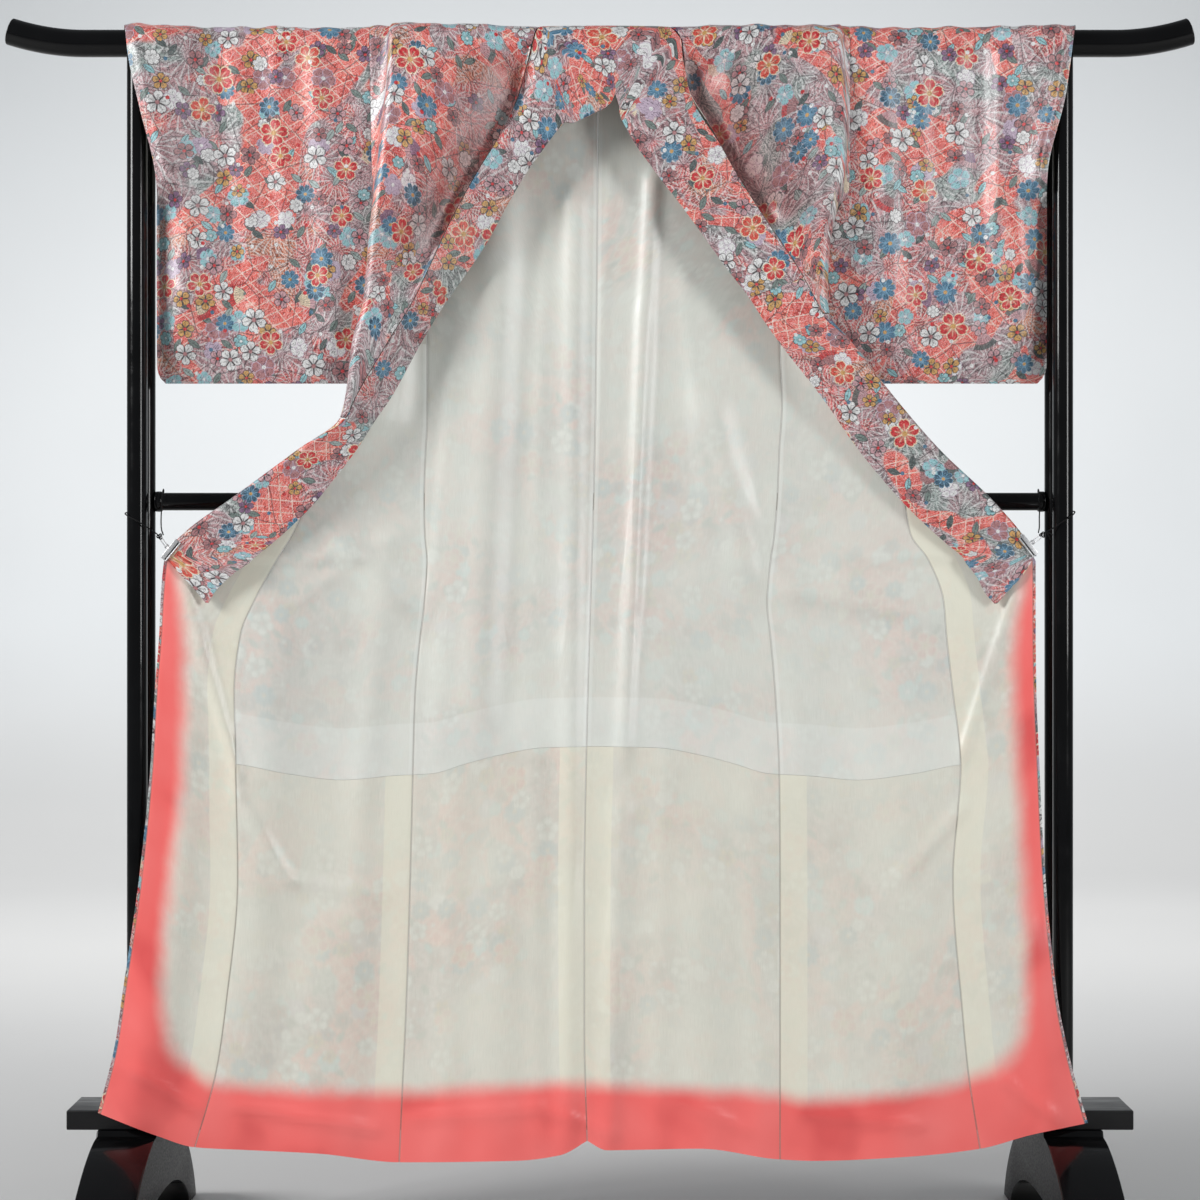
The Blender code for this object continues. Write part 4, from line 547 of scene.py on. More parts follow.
def read(table, column, at):
    """Value of a column where the table's first column is `at` (a number or an array)."""
    place, value, slope = curve_through(table, column)
    at = np.clip(at, place[0], place[-1])
    i = np.clip(np.searchsorted(place, at) - 1, 0, len(place) - 2)
    step = place[i + 1] - place[i]
    t = (at - place[i]) / step
    return ((1 + 2 * t) * (1 - t) ** 2 * value[i] + t * (1 - t) ** 2 * step * slope[i]
            + t * t * (3 - 2 * t) * value[i + 1] + t * t * (t - 1) * step * slope[i + 1])


def several(table, columns, at):
    """Values of some columns at one place."""
    return [float(read(table, column, at)) for column in columns.split()]


def ease(t):
    """Smooth step from 0 to 1."""
    t = np.clip(t, 0.0, 1.0)
    return t * t * (3 - 2 * t)


def through(points, steps):
    """Points or rows on a smooth curve through the given ones, with equal steps between each two."""
    points = [np.asarray(point) for point in points]
    points = [2 * points[0] - points[1], *points, 2 * points[-1] - points[-2]]
    fine = [points[1]]
    for p0, p1, p2, p3 in zip(points, points[1:], points[2:], points[3:]):
        for t in np.arange(1, steps + 1) / steps:
            fine.append(0.5 * (2 * p1 + (p2 - p0) * t + (2 * p0 - 5 * p1 + 4 * p2 - p3) * t ** 2
                               + (3 * p1 - p0 - 3 * p2 + p3) * t ** 3))
    return fine


# Cut lines of the cloth, in distance out from the middle, depth and height
def folds_at(x, z, folds=FOLDS + CREASES):
    """How far folds push the cloth to the front at a place seen from the front."""
    total = np.zeros_like(x)
    for x1, z1, x2, z2, half_width, height in folds:
        run = np.array((x2 - x1, z2 - z1))
        length = np.hypot(*run)
        along = ((x - x1) * run[0] + (z - z1) * run[1]) / length
        across = ((x - x1) * run[1] - (z - z1) * run[0]) / length
        past = np.maximum(0.0, np.maximum(-along, along - length))
        fade = np.exp(-(past / (2.0 * half_width)) ** 2)
        total += height * np.exp(-(across / half_width) ** 2) * fade
    return total


def gathers(x, angle):
    """How far small gathers lift the cloth on the rail, at an angle from its top."""
    lift = GATHER * (np.sin(47.0 * x + 0.6) * np.sin(19.0 * x + 1.1)) ** 2
    lift = lift + GATHER / 2 * np.sin(83.0 * x + 2.0) ** 2
    return lift * ease((np.abs(x) - GATHER_START) / GATHER_FADE) * np.cos(np.radians(angle))


def level_heights(side, z, out):
    """Heights of one level of the cloth, which sags between the seams and follows the hem."""
    lower = np.clip((LINING_SEAM - z) / (LINING_SEAM - HEM), 0.0, 1.0)
    upper = np.clip((z - LINING_SEAM) / (SAG_TOP - LINING_SEAM), 0.0, 1.0)
    sag = (1.0 - lower) * (1.0 - ease(upper)) * read("lining_seam", "drop", out)
    return z + sag + lower * read("hem_" + side, "drop", out)


def front_side(side, z):
    """Side edge of the front: distance out and depth."""
    table, column = ("front_top_" + side, "side_y") if z >= SIDE_SEAM_TOP else ("lean", "y")
    return float(read("front_" + side, "side", z)), float(read(table, column, z))


def back_side(side, z):
    return several("back_" + side, "side side_y", z) if z >= SIDE_SEAM_TOP else front_side(side, z)


def opened(side, out, y, z):
    """Points of the opened cloth, with its sag and its folds."""
    heights = level_heights(side, z, out)
    return np.column_stack((out, y - folds_at(OUT[side] * out, heights), heights))


@lru_cache(maxsize=None)
def back_line(side, z):
    """Cut of the back from the centre seam out to the side."""
    centre = OUT[side] * float(read("centre", "x", z))
    edge, edge_y = back_side(side, z)
    t = np.linspace(0.0, 1.0, BACK_POINTS)
    depth = float(read("lean", "y", z))
    return opened(side, centre + (edge - centre) * t, depth + (edge_y - depth) * ease(t), z)


@lru_cache(maxsize=None)
def front_line(side, z):
    """Cut of the front from the side edge round the fold to the collar's free edge.

    Gives the points, the distance along them, and where on it the fold starts and ends, the okumi seam,
    the collar seam and the free edge are."""
    begin = np.array(front_side(side, z))
    fold, fold_y, roll_radius = several("front_" + side, "fold fold_y roll", z)
    if z < COLLAR_FOOT:
        t = np.linspace(0.0, 1.0, LINE_POINTS)
        bow = t * t * (2.0 - t)
        points = opened(side, begin[0] + (fold - begin[0]) * t, begin[1] + (fold_y - begin[1]) * bow, z)
        length = lengths(points)
        seam = float(np.interp(read("okumi_" + side, "seam", z), points[:, 0], length))
        return points, length, {"okumi": seam, "collar": length[-1], "edge": length[-1]}
    lead = math.radians(float(read("front_top_" + side, "lead", z)))
    centre = np.array((fold - roll_radius, fold_y))
    into = centre + roll_radius * np.array((math.cos(lead), math.sin(lead)))
    chord = into - begin
    tangent = np.array((math.sin(lead), -math.cos(lead))) * np.hypot(*chord)
    flat = np.array((chord[0], 0.0))
    t = np.linspace(0.0, 1.0, LINE_POINTS)[:, None]
    under = ((1 + 2 * t) * (1 - t) ** 2 * begin + t * (1 - t) ** 2 * flat
             + t * t * (3 - 2 * t) * into + t * t * (t - 1) * tangent)
    under = opened(side, under[:, 0], under[:, 1], z) if z <= SIDE_SEAM_TOP else with_height(under, z)
    turn = np.linspace(lead, -math.pi / 2, TURN_POINTS)[1:]
    shift = under[-1, 1] - into[1]
    height = under[-1, 2]
    arc = with_height(np.column_stack((centre[0] + roll_radius * np.cos(turn),
                                       centre[1] + shift + roll_radius * np.sin(turn))), height)
    seam, seam_y, edge, edge_y, round_fold = several("collar_" + side, "seam seam_y edge edge_y turn", z)
    stops = [arc[-1], np.array((edge, edge_y, float(level_heights(side, z, edge))))]
    if z > TIP[side]:
        stops.insert(1, np.array((seam, seam_y, height)))
    over = []
    for first, last in zip(stops, stops[1:]):
        over += [first + (last - first) * s for s in np.linspace(0.0, 1.0, OVER_POINTS + 1)[1:]]
    points = np.vstack((under, arc, np.array(over)))
    length = lengths(points)
    fold_start, fold_end = length[LINE_POINTS - 1], length[LINE_POINTS + len(turn) - 1]
    if z > TIP[side]:
        collar_at = okumi_at = length[LINE_POINTS + len(turn) + OVER_POINTS - 1]
    else:
        collar_at = fold_end - round_fold * (fold_end - fold_start)
        okumi = float(read("okumi_" + side, "seam", z))
        okumi_at = float(np.interp(okumi, under[:, 0], length[:LINE_POINTS]))
    marks = {"fold_start": fold_start, "fold_end": fold_end, "okumi": okumi_at, "collar": collar_at,
             "edge": length[-1]}
    return points, length, marks


def with_height(flat, z):
    return np.column_stack((flat, np.full(len(flat), z)))


def lengths(points):
    steps = np.linalg.norm(np.diff(points, axis=0), axis=1)
    return np.concatenate(((0.0,), np.cumsum(steps)))


def along(points, length, at):
    """Point at a distance along a cut, run on straight past either end."""
    at = np.atleast_1d(np.asarray(at, dtype=float))
    found = np.column_stack([np.interp(at, length, points[:, k]) for k in range(3)])
    for end, inner, over in ((0, 1, at < length[0]), (-1, -2, at > length[-1])):
        distance = np.abs(at - length[end])[:, None]
        found = np.where(over[:, None], points[end] + unit(points[end] - points[inner]) * distance, found)
    return found


# Stretches of the cut lines that the pieces use, as fractions from the side seam inwards
def back_row(side, z, fractions, shift=0.0):
    points = back_line(side, z)
    length = lengths(points)
    start, end = length[-1] - SEAM / 2, SEAM / 2
    return along(points, length, start + (end - start) * np.asarray(fractions) + shift)


def front_row(side, z, fractions, stretch, shift=0.0):
    points, length, _ = front_line(side, z)
    start, end = stretch_ends(side, z, stretch)
    return along(points, length, start + (end - start) * np.asarray(fractions) + shift)


def stretch_ends(side, z, stretch):
    """Where a piece's stretch of the front's cut starts and ends."""
    marks = front_line(side, z)[2]
    if stretch == "front":
        return SEAM / 2, marks["okumi"] - SEAM / 2
    if stretch == "okumi":
        return marks["okumi"] + SEAM / 2, marks["collar"]
    return marks["collar"] + COLLAR_SEAM, marks["edge"]


def share_of(side, z, stretch, mark):
    """A mark's place on a stretch, as a share of the stretch."""
    start, end = stretch_ends(side, z, stretch)
    return (front_line(side, z)[2][mark] - start) / (end - start)


def neck_edge(side, angle):
    """Distance out of the body's inner edge on the rail, which runs to the centre behind the neck."""
    if angle <= NECK_BACK_ANGLE:
        return OUT[side] * float(read("centre", "x", RAIL_Z)) + SEAM / 2
    return float(read("neck_" + side, "seam", angle))


def to_the_back(angle):
    """Share of the way over the rail, from 0 in front to 1 behind."""
    return ease((90.0 - angle) / 180.0)


def rail_row(side, angle, fractions):
    """Row of the body over the rail; the pleat beside the sleeve seam dies away towards the back."""
    across = to_the_back(angle)
    front = front_row(side, RAIL_Z, fractions, "front")
    back = back_row(side, RAIL_Z, fractions)
    front_share, back_share = ((row[:, 0] - row[0, 0]) / (row[-1, 0] - row[0, 0]) for row in (front, back))
    share = front_share + (back_share - front_share) * across
    outer = front[0, 0] + (back[0, 0] - front[0, 0]) * across
    lift = np.maximum(0.0, -front[:, 1] - DRAPE_RADIUS) * (1.0 - across) ** PLEAT_FADE
    radius, a = DRAPE_RADIUS + lift, math.radians(angle)
    out = outer + (neck_edge(side, angle) - outer) * share
    return np.column_stack((out, -radius * math.sin(a), RAIL_Z + radius * math.cos(a)))


def seen_from_front(side, points):
    """Put points where the eye in front sees them, and give the left or right side its sign."""
    scale = 1.0 + points[..., 1] / EYE_DISTANCE
    placed = points.copy()
    placed[..., 0] = OUT[side] * points[..., 0] * scale
    below = np.minimum(points[..., 2] - EYE_Z, 0.0)
    placed[..., 2] = points[..., 2] + below * (scale - 1.0)
    return placed


def unit(vectors):
    return vectors / np.maximum(np.linalg.norm(vectors, axis=-1, keepdims=True), 1e-12)


def normals_of(side, row, bottom, z, top):
    """Outside of the cloth along a row, from a step up the cloth and a step along the cut, so that it is
    the same for both pieces that meet at a seam. row gives the points at a height, moved by a shift."""
    ahead, behind = (seen_from_front(side, row(z, shift)) for shift in (TANGENT_STEP, -TANGENT_STEP))
    upper, lower = (seen_from_front(side, row(level, 0.0)) for level in (top, bottom))
    return OUT[side] * unit(np.cross(upper - lower, ahead - behind))


def front_normals(side, z, fractions, stretch):
    """The step up the cloth is kept to one side of the heights where the cut changes its kind."""
    top, bottom = min(z + LEVEL_STEP, RAIL_Z), max(z - LEVEL_STEP, HEM)
    if z > TIP[side]:
        bottom = max(bottom, TIP[side] + JUST_ABOVE)
    else:
        top = min(top, TIP[side])
    if z >= COLLAR_FOOT:
        bottom = max(bottom, COLLAR_FOOT)
    else:
        top = min(top, COLLAR_FOOT - JUST_ABOVE)
    return normals_of(side, lambda level, shift: front_row(side, level, fractions, stretch, shift),
                      bottom, z, top)


def back_normals(side, z, fractions):
    normals = normals_of(side, lambda level, shift: back_row(side, level, fractions, shift),
                         max(z - LEVEL_STEP, HEM), z, min(z + LEVEL_STEP, RAIL_Z))
    normals[np.asarray(fractions) == 1.0, 0] = 0.0
    return unit(normals)


def drape_length(where):
    """Distance over the rail from its top, positive to the front, of an angle or of a height."""
    if where < 1.0 or where > 1.7:
        return math.radians(where) * DRAPE_RADIUS
    return math.pi / 2 * DRAPE_RADIUS + RAIL_Z - where


# Materials: a field is a number, direction or colour that changes over the surface, built up from nodes
class Field:
    """An output in a node tree. Sums, products and comparisons of fields become nodes."""

    def __init__(self, paint, socket):
        self.paint = paint
        self.socket = socket

    def math(self, operation, *others):
        return self.paint.made("Math", dict(enumerate((self, *others))), operation=operation)

    __add__ = partialmethod(math, "ADD")
    __sub__ = partialmethod(math, "SUBTRACT")
    __mul__ = partialmethod(math, "MULTIPLY")
    __truediv__ = partialmethod(math, "DIVIDE")
    __pow__ = partialmethod(math, "POWER")
    over = partialmethod(math, "GREATER_THAN")
    under = partialmethod(math, "LESS_THAN")
    least = partialmethod(math, "MINIMUM")
    abs = partialmethod(math, "ABSOLUTE")
    cos = partialmethod(math, "COSINE")
    sin = partialmethod(math, "SINE")

    def step(self, low, high, start=0.0, end=1.0):
        """Smooth step: start below low, end above high."""
        values = {"Value": self, "From Min": low, "From Max": high, "To Min": start, "To Max": end}
        return self.paint.made("MapRange", values, "Result", interpolation_type="SMOOTHSTEP")

    def pick(self, *colours):
        """One of the colours, in equal shares of the range from 0 to 1."""
        return self.ramp([(i / len(colours), colour) for i, colour in enumerate(colours)], "CONSTANT")

    def ramp(self, stops, interpolation="LINEAR"):
        node = self.paint.tree.nodes.new("ShaderNodeValToRGB")
        node.color_ramp.interpolation = interpolation
        elements = node.color_ramp.elements
        while len(elements) < len(stops):
            elements.new(1.0)
        for element, (place, colour) in zip(elements, stops):
            element.position = place
            element.color = (*colour, 1.0)
        self.paint.feed(node.inputs["Fac"], self)
        return Field(self.paint, node.outputs["Color"])


class Paint:
    """Makes the nodes of one node tree."""

    def __init__(self, tree):
        self.tree = tree

    def feed(self, place, value):
        if isinstance(value, Field):
            self.tree.links.new(value.socket, place)
        elif isinstance(value, tuple) and len(place.default_value) == 4:
            place.default_value = (*value, 1.0)
        else:
            place.default_value = value

    def made(self, kind, values, out=0, **settings):
        """Add a node with its settings and inputs, and give one output or several."""
        node = self.tree.nodes.new("ShaderNode" + kind)
        for key, value in settings.items():
            setattr(node, key, value)
        for key, value in values.items():
            self.feed(node.inputs[key], value)
        if isinstance(out, tuple):
            return tuple(Field(self, node.outputs[name]) for name in out)
        return Field(self, node.outputs[out])

    def cloth_place(self):
        """Place on the cloth in metres."""
        return self.made("UVMap", {}, "UV", uv_map="cloth")

    def place(self):
        return self.made("TexCoord", {}, "Object")

    def attribute(self, name):
        return self.made("Attribute", {}, "Fac", attribute_name=name)

    def split(self, vector):
        return self.made("SeparateXYZ", {0: vector}, (0, 1, 2))

    def join(self, x, y, z=0.0):
        return self.made("CombineXYZ", {0: x, 1: y, 2: z})

    def vector(self, operation, first, second):
        values = {0: first, 3 if operation == "SCALE" else 1: second}
        out = "Value" if operation == "LENGTH" else "Vector"
        return self.made("VectorMath", values, out, operation=operation)

    def noise(self, vector, scale, detail=2.0, rough=0.5, distortion=0.0, out="Fac"):
        values = {"Vector": vector, "Scale": scale, "Detail": detail, "Roughness": rough,
                  "Distortion": distortion}
        return self.made("TexNoise", values, out)

    def scatter(self, vector, amount, scale, detail):
        """The place moved by noise, up to half of the amount to each side."""
        centred = self.vector("SUBTRACT", self.noise(vector, scale, detail, out="Color"), (0.5, 0.5, 0.5))
        return self.vector("ADD", vector, self.vector("SCALE", centred, amount))

    def cells(self, vector, scale, randomness=1.0, feature="F1", out=("Distance", "Color", "Position")):
        """Voronoi cells: distance from the cell's middle, its own random colour, and its middle."""
        values = {"Vector": vector, "Scale": scale, "Randomness": randomness}
        return self.made("TexVoronoi", values, out, voronoi_dimensions="2D", feature=feature)

    def mix(self, share, first, second, blend="MIX"):
        return self.made("Mix", {0: share, 6: first, 7: second}, 2, data_type="RGBA", blend_type=blend)

    def multiply(self, share, first, second):
        return self.mix(share, first, second, "MULTIPLY")

    def bump(self, height, distance, strength=1.0, normal=None):
        values = {"Height": height, "Distance": distance, "Strength": strength}
        if normal:
            values["Normal"] = normal
        return self.made("Bump", values, "Normal")


class Surface(Paint):
    """Paint of a Principled material. Numbers that are the same all over go on its sockets."""

    def __init__(self, name, **sockets):
        self.material = bpy.data.materials.new(name)
        self.material.use_nodes = True
        super().__init__(self.material.node_tree)
        self.shader = self.tree.nodes["Principled BSDF"]
        for key, value in sockets.items():
            self.feed(self.shader.inputs[key.replace("_", " ")], value)

    def finish(self, colour, roughness, normal=None):
        for name, value in (("Base Color", colour), ("Roughness", roughness), ("Normal", normal)):
            if value:
                self.feed(self.shader.inputs[name], value)
        return self.material


def srgb(*levels):
    """Colour for the nodes from the levels of a screen colour, 0 to 255."""
    shares = [level / 255.0 for level in levels]
    return tuple(s / 12.92 if s <= 0.04045 else ((s + 0.055) / 1.055) ** 2.4 for s in shares)


# Colours of the printed pattern
CORAL = srgb(246, 110, 96)
CORAL_DARK = srgb(216, 76, 70)
PINK_RED = srgb(234, 98, 100)
MAUVE = srgb(204, 158, 164)
LILAC_GREY = srgb(198, 172, 178)
GREY_TEAL = srgb(166, 184, 180)
ORANGE = srgb(226, 132, 92)
LATTICE = srgb(250, 222, 206)
OUTLINE = srgb(58, 48, 54)
CREAM = srgb(238, 222, 190)
RED = srgb(212, 34, 42)
ORANGE_RED = srgb(220, 72, 52)
PETAL_WHITE = srgb(234, 235, 234)
BLUE = srgb(66, 116, 146)
BLUE_DARK = srgb(50, 90, 114)
BLUE_PALE = srgb(110, 160, 190)
TURQUOISE = srgb(152, 204, 210)
LILAC = srgb(196, 176, 196)
MUSTARD = srgb(214, 164, 92)
PURPLE = srgb(136, 98, 134)
LEAF = srgb(116, 134, 128)
LEAF_DARK = srgb(84, 98, 96)
ROSE = srgb(176, 118, 120)
CORAL_LIGHT = srgb(244, 132, 112)
GROUND_SHADE = srgb(148, 124, 130)
GROUND_LIGHT = srgb(255, 250, 248)
SLUB_SHADE = srgb(222, 216, 216)
WHITE = srgb(255, 255, 255)

# Layers of flowers, the soft plain ones first and the large drawn ones last: whether they drift with the
# ground, spacing, size, petals, seed, presence, roundness of the petals, their colours, colour of the
# lines and of the middle, width of the edge line, gap between the petals and strength of the veins
FLOWERS = (
    (True, 0.058, 0.0155, 5, 3, 0.60, 0.30, (TURQUOISE, PETAL_WHITE, LILAC, TURQUOISE, ROSE), LILAC,
     PETAL_WHITE, 0.10, 0.10, 0.0),
    (True, 0.043, 0.0130, 5, 11, 0.58, 0.60, (MUSTARD, ROSE, PURPLE, MAUVE, MUSTARD, ROSE), OUTLINE,
     RED, 0.12, 0.24, 0.5),
    (True, 0.070, 0.0110, 6, 23, 0.46, 0.30, (PETAL_WHITE, TURQUOISE, PETAL_WHITE), OUTLINE,
     PETAL_WHITE, 0.15, 0.03, 0.0),
    (False, 0.066, 0.0155, 8, 31, 0.42, 0.45, (BLUE, BLUE_DARK, BLUE), BLUE_PALE, MUSTARD, 0.10, 0.28, 0.8),
    (False, 0.074, 0.0170, 5, 47, 0.48, 0.60, (PETAL_WHITE,), OUTLINE, ROSE, 0.09, 0.20, 0.5),
    (False, 0.084, 0.0205, 5, 59, 0.50, 0.60, (RED, ORANGE_RED, RED), CREAM, MUSTARD, 0.13, 0.17, 0.5),
)

# Sizes of the leaves and the fans
LEAF_HALF_LENGTH = 0.0105
LEAF_HALF_WIDTH = 0.0046
FAN_SPACING = 1.0 / 9.5
FAN_RADIUS = 0.030

# Painted shade: a warm dark red multiplied into the print in the hollow of the front beside the collar,
# where the fold lies in shade and light bounces inside it
FOLD_SHADE_COLOUR = srgb(196, 150, 146)
FOLD_SHADE_WIDTH = 0.15

# Silk of the linings. A seam allowance shows through as a band with a width, a strength and a shade.
WHITE_SILK = srgb(226, 228, 219)
CREAM_SILK = srgb(230, 229, 216)
WARP_SHADE = srgb(240, 240, 238)
SEAM_SHADE = srgb(130, 122, 110)
BAND_SHADE = srgb(238, 241, 236)
ALLOWANCE = {"dye": (0.038, 0.50, srgb(238, 235, 214)), "band": (0.006, 0.28, srgb(242, 245, 240))}
BORDER_CORAL = srgb(255, 122, 118)
BORDER_MIDDLE = srgb(250, 108, 104)
BORDER_DARK = srgb(230, 88, 86)
DYE_SOFTNESS = 0.018
DYE_RAGGEDNESS = 0.012
SHOW_THROUGH_BLUR = 0.013
SEAM_BAND = 0.072

# Marks of the print are turned by up to this angle
FULL_TURN = 6.283


def scattered(p, spot, shift, spacing, randomness=1.0):
    """Marks scattered over the cloth: distance from the nearest one's middle, angle round it with a random
    turn, the middle itself, and three random numbers of the mark."""
    moved = p.vector("ADD", spot, shift)
    _, chance, middle = p.cells(moved, 1.0 / spacing, randomness)
    chances = p.split(chance)
    x, y, _ = p.split(p.vector("SUBTRACT", moved, middle))
    distance = p.vector("LENGTH", p.join(x, y), (0.0, 0.0, 0.0))
    return distance, y.math("ARCTAN2", x) + chances[0] * FULL_TURN, middle, chances


def strokes(p, spot, spacing, seed, rays):
    """Thin strokes that spread from scattered middles, from 0 between them to 1 on them."""
    distance, turned, _, chances = scattered(p, spot, (seed * 0.31, seed * 0.57, 0.0), spacing)
    reach = distance / spacing
    thin = (turned * rays + reach * chances[1] * 9.0).sin().step(0.45, 0.95)
    return thin * reach.step(0.10, 0.22)


def lay_ground(p, spot, loose):
    """Bands of grey, mauve and pink that run aslant over the cloth, and coral ones with a net of lines."""
    u, v, _ = p.split(spot)
    turn = p.noise(p.join(u * 0.8 - v * 0.4, v * 0.6 + u * 0.2, 2.7), 12.0, 1.0, 0.5, 0.8)
    turn = turn * 0.75 + p.noise(loose, 30.0, 2.0) * 0.25
    base = turn.ramp([(0.0, GREY_TEAL), (0.37, GREY_TEAL), (0.42, LILAC_GREY), (0.46, MAUVE), (0.51, MAUVE),
                      (0.54, PINK_RED), (0.60, PINK_RED), (0.64, ORANGE)])
    shade = p.noise(spot, 70.0, 2.0)
    base = p.multiply(0.8, base, shade.ramp([(0.32, GROUND_SHADE), (0.60, GROUND_LIGHT)]))
    base = p.mix(strokes(p, loose, 0.034, 2.0, 13.0) * 0.55, base, OUTLINE)
    base = p.mix(strokes(p, loose, 0.046, 7.0, 17.0) * 0.62, base, PETAL_WHITE)
    arcs = (p.cells(loose, 26.0, out="Distance") * 62.0).sin().step(0.50, 0.95) * turn.step(0.52, 0.56)
    base = p.mix(arcs * 0.65, base, LATTICE)

    u_loose, v_loose, _ = p.split(loose)
    one = ((u_loose * 0.55 + v_loose) * 165.0).sin().abs()
    two = ((u_loose * 0.80 - v_loose * 0.75) * 150.0).sin().abs()
    wash = p.noise(spot, 34.0, 2.0)
    coral = wash.ramp([(0.3, CORAL_DARK), (0.55, CORAL), (0.8, CORAL_LIGHT)])
    burst = strokes(p, spot, 0.060, 4.0, 15.0) * wash.over(0.56)
    coral = p.mix(burst * 0.50, coral, LATTICE)
    coral = p.mix(one.least(two).step(0.06, 0.19, 1.0, 0.0) * 0.85, coral, LATTICE)
    flow = p.noise(p.join(u * 0.9 + v * 0.5, v * 0.45 - u * 0.3, 0.4), 9.0, 1.0, 0.5, 1.2)
    return p.mix(flow.step(0.540, 0.560), base, coral)


def lay_leaves(p, ground, spot, loose):
    """Thin stems, and leaves with a vein that lie in two directions."""
    u, v, _ = p.split(spot)
    stem = p.cells(loose, 21.0, feature="DISTANCE_TO_EDGE", out="Distance")
    ground = p.mix(stem.step(0.008, 0.022, 0.65, 0.0), ground, OUTLINE)
    for tilt_u, tilt_v, seed, share in ((0.8, 0.6, 0.0, 0.42), (0.5, -0.86, 5.0, 0.38)):
        tilted = p.join(u * tilt_u + v * tilt_v + seed, v * tilt_u - u * tilt_v)
        _, chance, middle = p.cells(tilted, 29.0, 0.9)
        _, here, tint = p.split(chance)
        run, across, _ = p.split(p.vector("SUBTRACT", tilted, middle))
        beside = across.abs() / LEAF_HALF_WIDTH
        leaf = (run / LEAF_HALF_LENGTH) ** 2.0 * -1.0 + 1.0 - beside
        leaf = leaf * here.under(share) + (here.under(share) - 1.0)
        vein = beside.step(0.05, 0.14, 0.7, 0.0)
        blade = p.mix(vein, tint.pick(LEAF, LEAF_DARK, GREY_TEAL, LEAF, TURQUOISE), OUTLINE)
        blade = p.mix(leaf.step(0.10, 0.18), OUTLINE, blade)
        ground = p.mix(leaf.step(-0.02, 0.03), ground, blade)
    return ground


def lay_fans(p, ground, spot):
    """Folding fans here and there: a ribbed wedge with an edge in another colour."""
    distance, turned, _, (_, second, third) = scattered(p, spot, (0.41, 0.93, 0.0), FAN_SPACING, 0.9)
    radius = distance / FAN_RADIUS
    wrapped = turned.sin().math("ARCSINE").abs() + turned.cos().under(0.0) * 9.0
    wedge = radius.step(0.98, 1.0, 1.0, 0.0) * radius.step(0.26, 0.28)
    wedge = wedge * wrapped.step(0.60, 0.62, 1.0, 0.0) * third.under(0.55)
    rib = (wrapped * 42.0).sin().step(0.55, 0.9)
    edge = second.pick(LEAF_DARK, RED, MAUVE)
    sheet = p.mix(radius.step(0.72, 0.74), second.pick(MAUVE, ROSE, CREAM, PURPLE), edge)
    return p.mix(wedge * 0.9, ground, p.mix(rib * 0.6, sheet, OUTLINE))


def lay_flowers(p, ground, spot, spacing, size, petals, seed, presence, roundness, colours, line, eye,
                edge_width, gap, vein):
    """Paint one layer of scattered flowers, which gather in some places: petals, lines between them, veins
    and the middle."""
    shift = (seed * 0.37, seed * 0.73, 0.0)
    distance, turned, middle, (_, second, third) = scattered(p, spot, shift, spacing, 0.85)
    ripple = (turned * (petals / 2.0)).cos().abs()
    radius = distance / ((second * 0.3 + 0.8) * size)
    edge = ripple ** roundness * 0.46 + 0.54 - ripple.step(0.975, 1.0) * 0.07
    gather = p.noise(middle, 14.0, 0.0)
    there = third.under(gather.step(0.40, 0.60, presence * 0.65, presence * 1.75))
    inside = (edge - radius) * there + (there - 1.0)
    fill = second.pick(*colours) if len(colours) > 1 else colours[0]
    colour = p.mix(radius.step(0.20, 0.60, 0.30, 0.0), fill, line)
    colour = p.mix(ripple.step(0.965, 0.995) * radius.step(0.60, 0.68, vein, 0.0), colour, line)
    colour = p.mix((ripple * radius).step(gap * 0.55, gap), line, colour)
    colour = p.mix(inside.step(edge_width * 0.4, edge_width), line, colour)
    colour = p.mix(radius.step(0.14, 0.20), eye, colour)
    return p.mix(inside.step(-0.02, 0.03), ground, colour)


def lay_dots(p, ground, spot):
    dot, chance, _ = p.cells(p.vector("ADD", spot, (0.9, 0.4, 0.0)), 34.0)
    _, here, tint = p.split(chance)
    colour = tint.pick(PETAL_WHITE, RED, PETAL_WHITE, BLUE, PETAL_WHITE)
    return p.mix(dot.step(0.085, 0.105, 1.0, 0.0) * here.under(0.34), ground, colour)


def print_group():
    """The print as one group: place on the cloth in, colour out."""
    tree = bpy.data.node_groups.new("komon print", "ShaderNodeTree")
    tree.interface.new_socket("Place", in_out="INPUT", socket_type="NodeSocketVector")
    tree.interface.new_socket("Color", in_out="OUTPUT", socket_type="NodeSocketColor")
    p = Paint(tree)
    spot = Field(p, tree.nodes.new("NodeGroupInput").outputs["Place"])
    loose = p.scatter(spot, 0.020, 9.0, 1.0)
    u, v, _ = p.split(loose)
    # Fine streaks over the print: the light ones are print lines and painted sheen glints of the crinkled
    # silk, the dark ones are print lines
    ink_and_sheen = (p.noise(p.join(u * 0.8 + v * 0.6, (v * 0.8 - u * 0.6) * 0.35), 210.0, 1.0, 0.5, 1.6) * 34.0).sin()
    colour = p.mix(ink_and_sheen.step(0.64, 0.95) * 0.50, lay_ground(p, spot, loose), PETAL_WHITE)
    colour = lay_leaves(p, colour, spot, loose)
    colour = lay_fans(p, colour, spot)
    for drifts, *flower in FLOWERS:
        colour = lay_flowers(p, colour, loose if drifts else spot, *flower)
    colour = lay_dots(p, colour, spot)
    # Painted sheen: a weaker layer of the light streaks over everything, the flowers too
    colour = p.mix(ink_and_sheen.step(0.80, 0.99) * 0.22, colour, PETAL_WHITE)
    colour = p.multiply(ink_and_sheen.step(-0.96, -0.72, 0.74, 0.0), colour, OUTLINE)
    p.feed(tree.nodes.new("NodeGroupOutput").inputs["Color"], colour)
    return tree


def printed(p, tree, spot):
    return p.made("Group", {"Place": spot}, "Color", node_tree=tree)


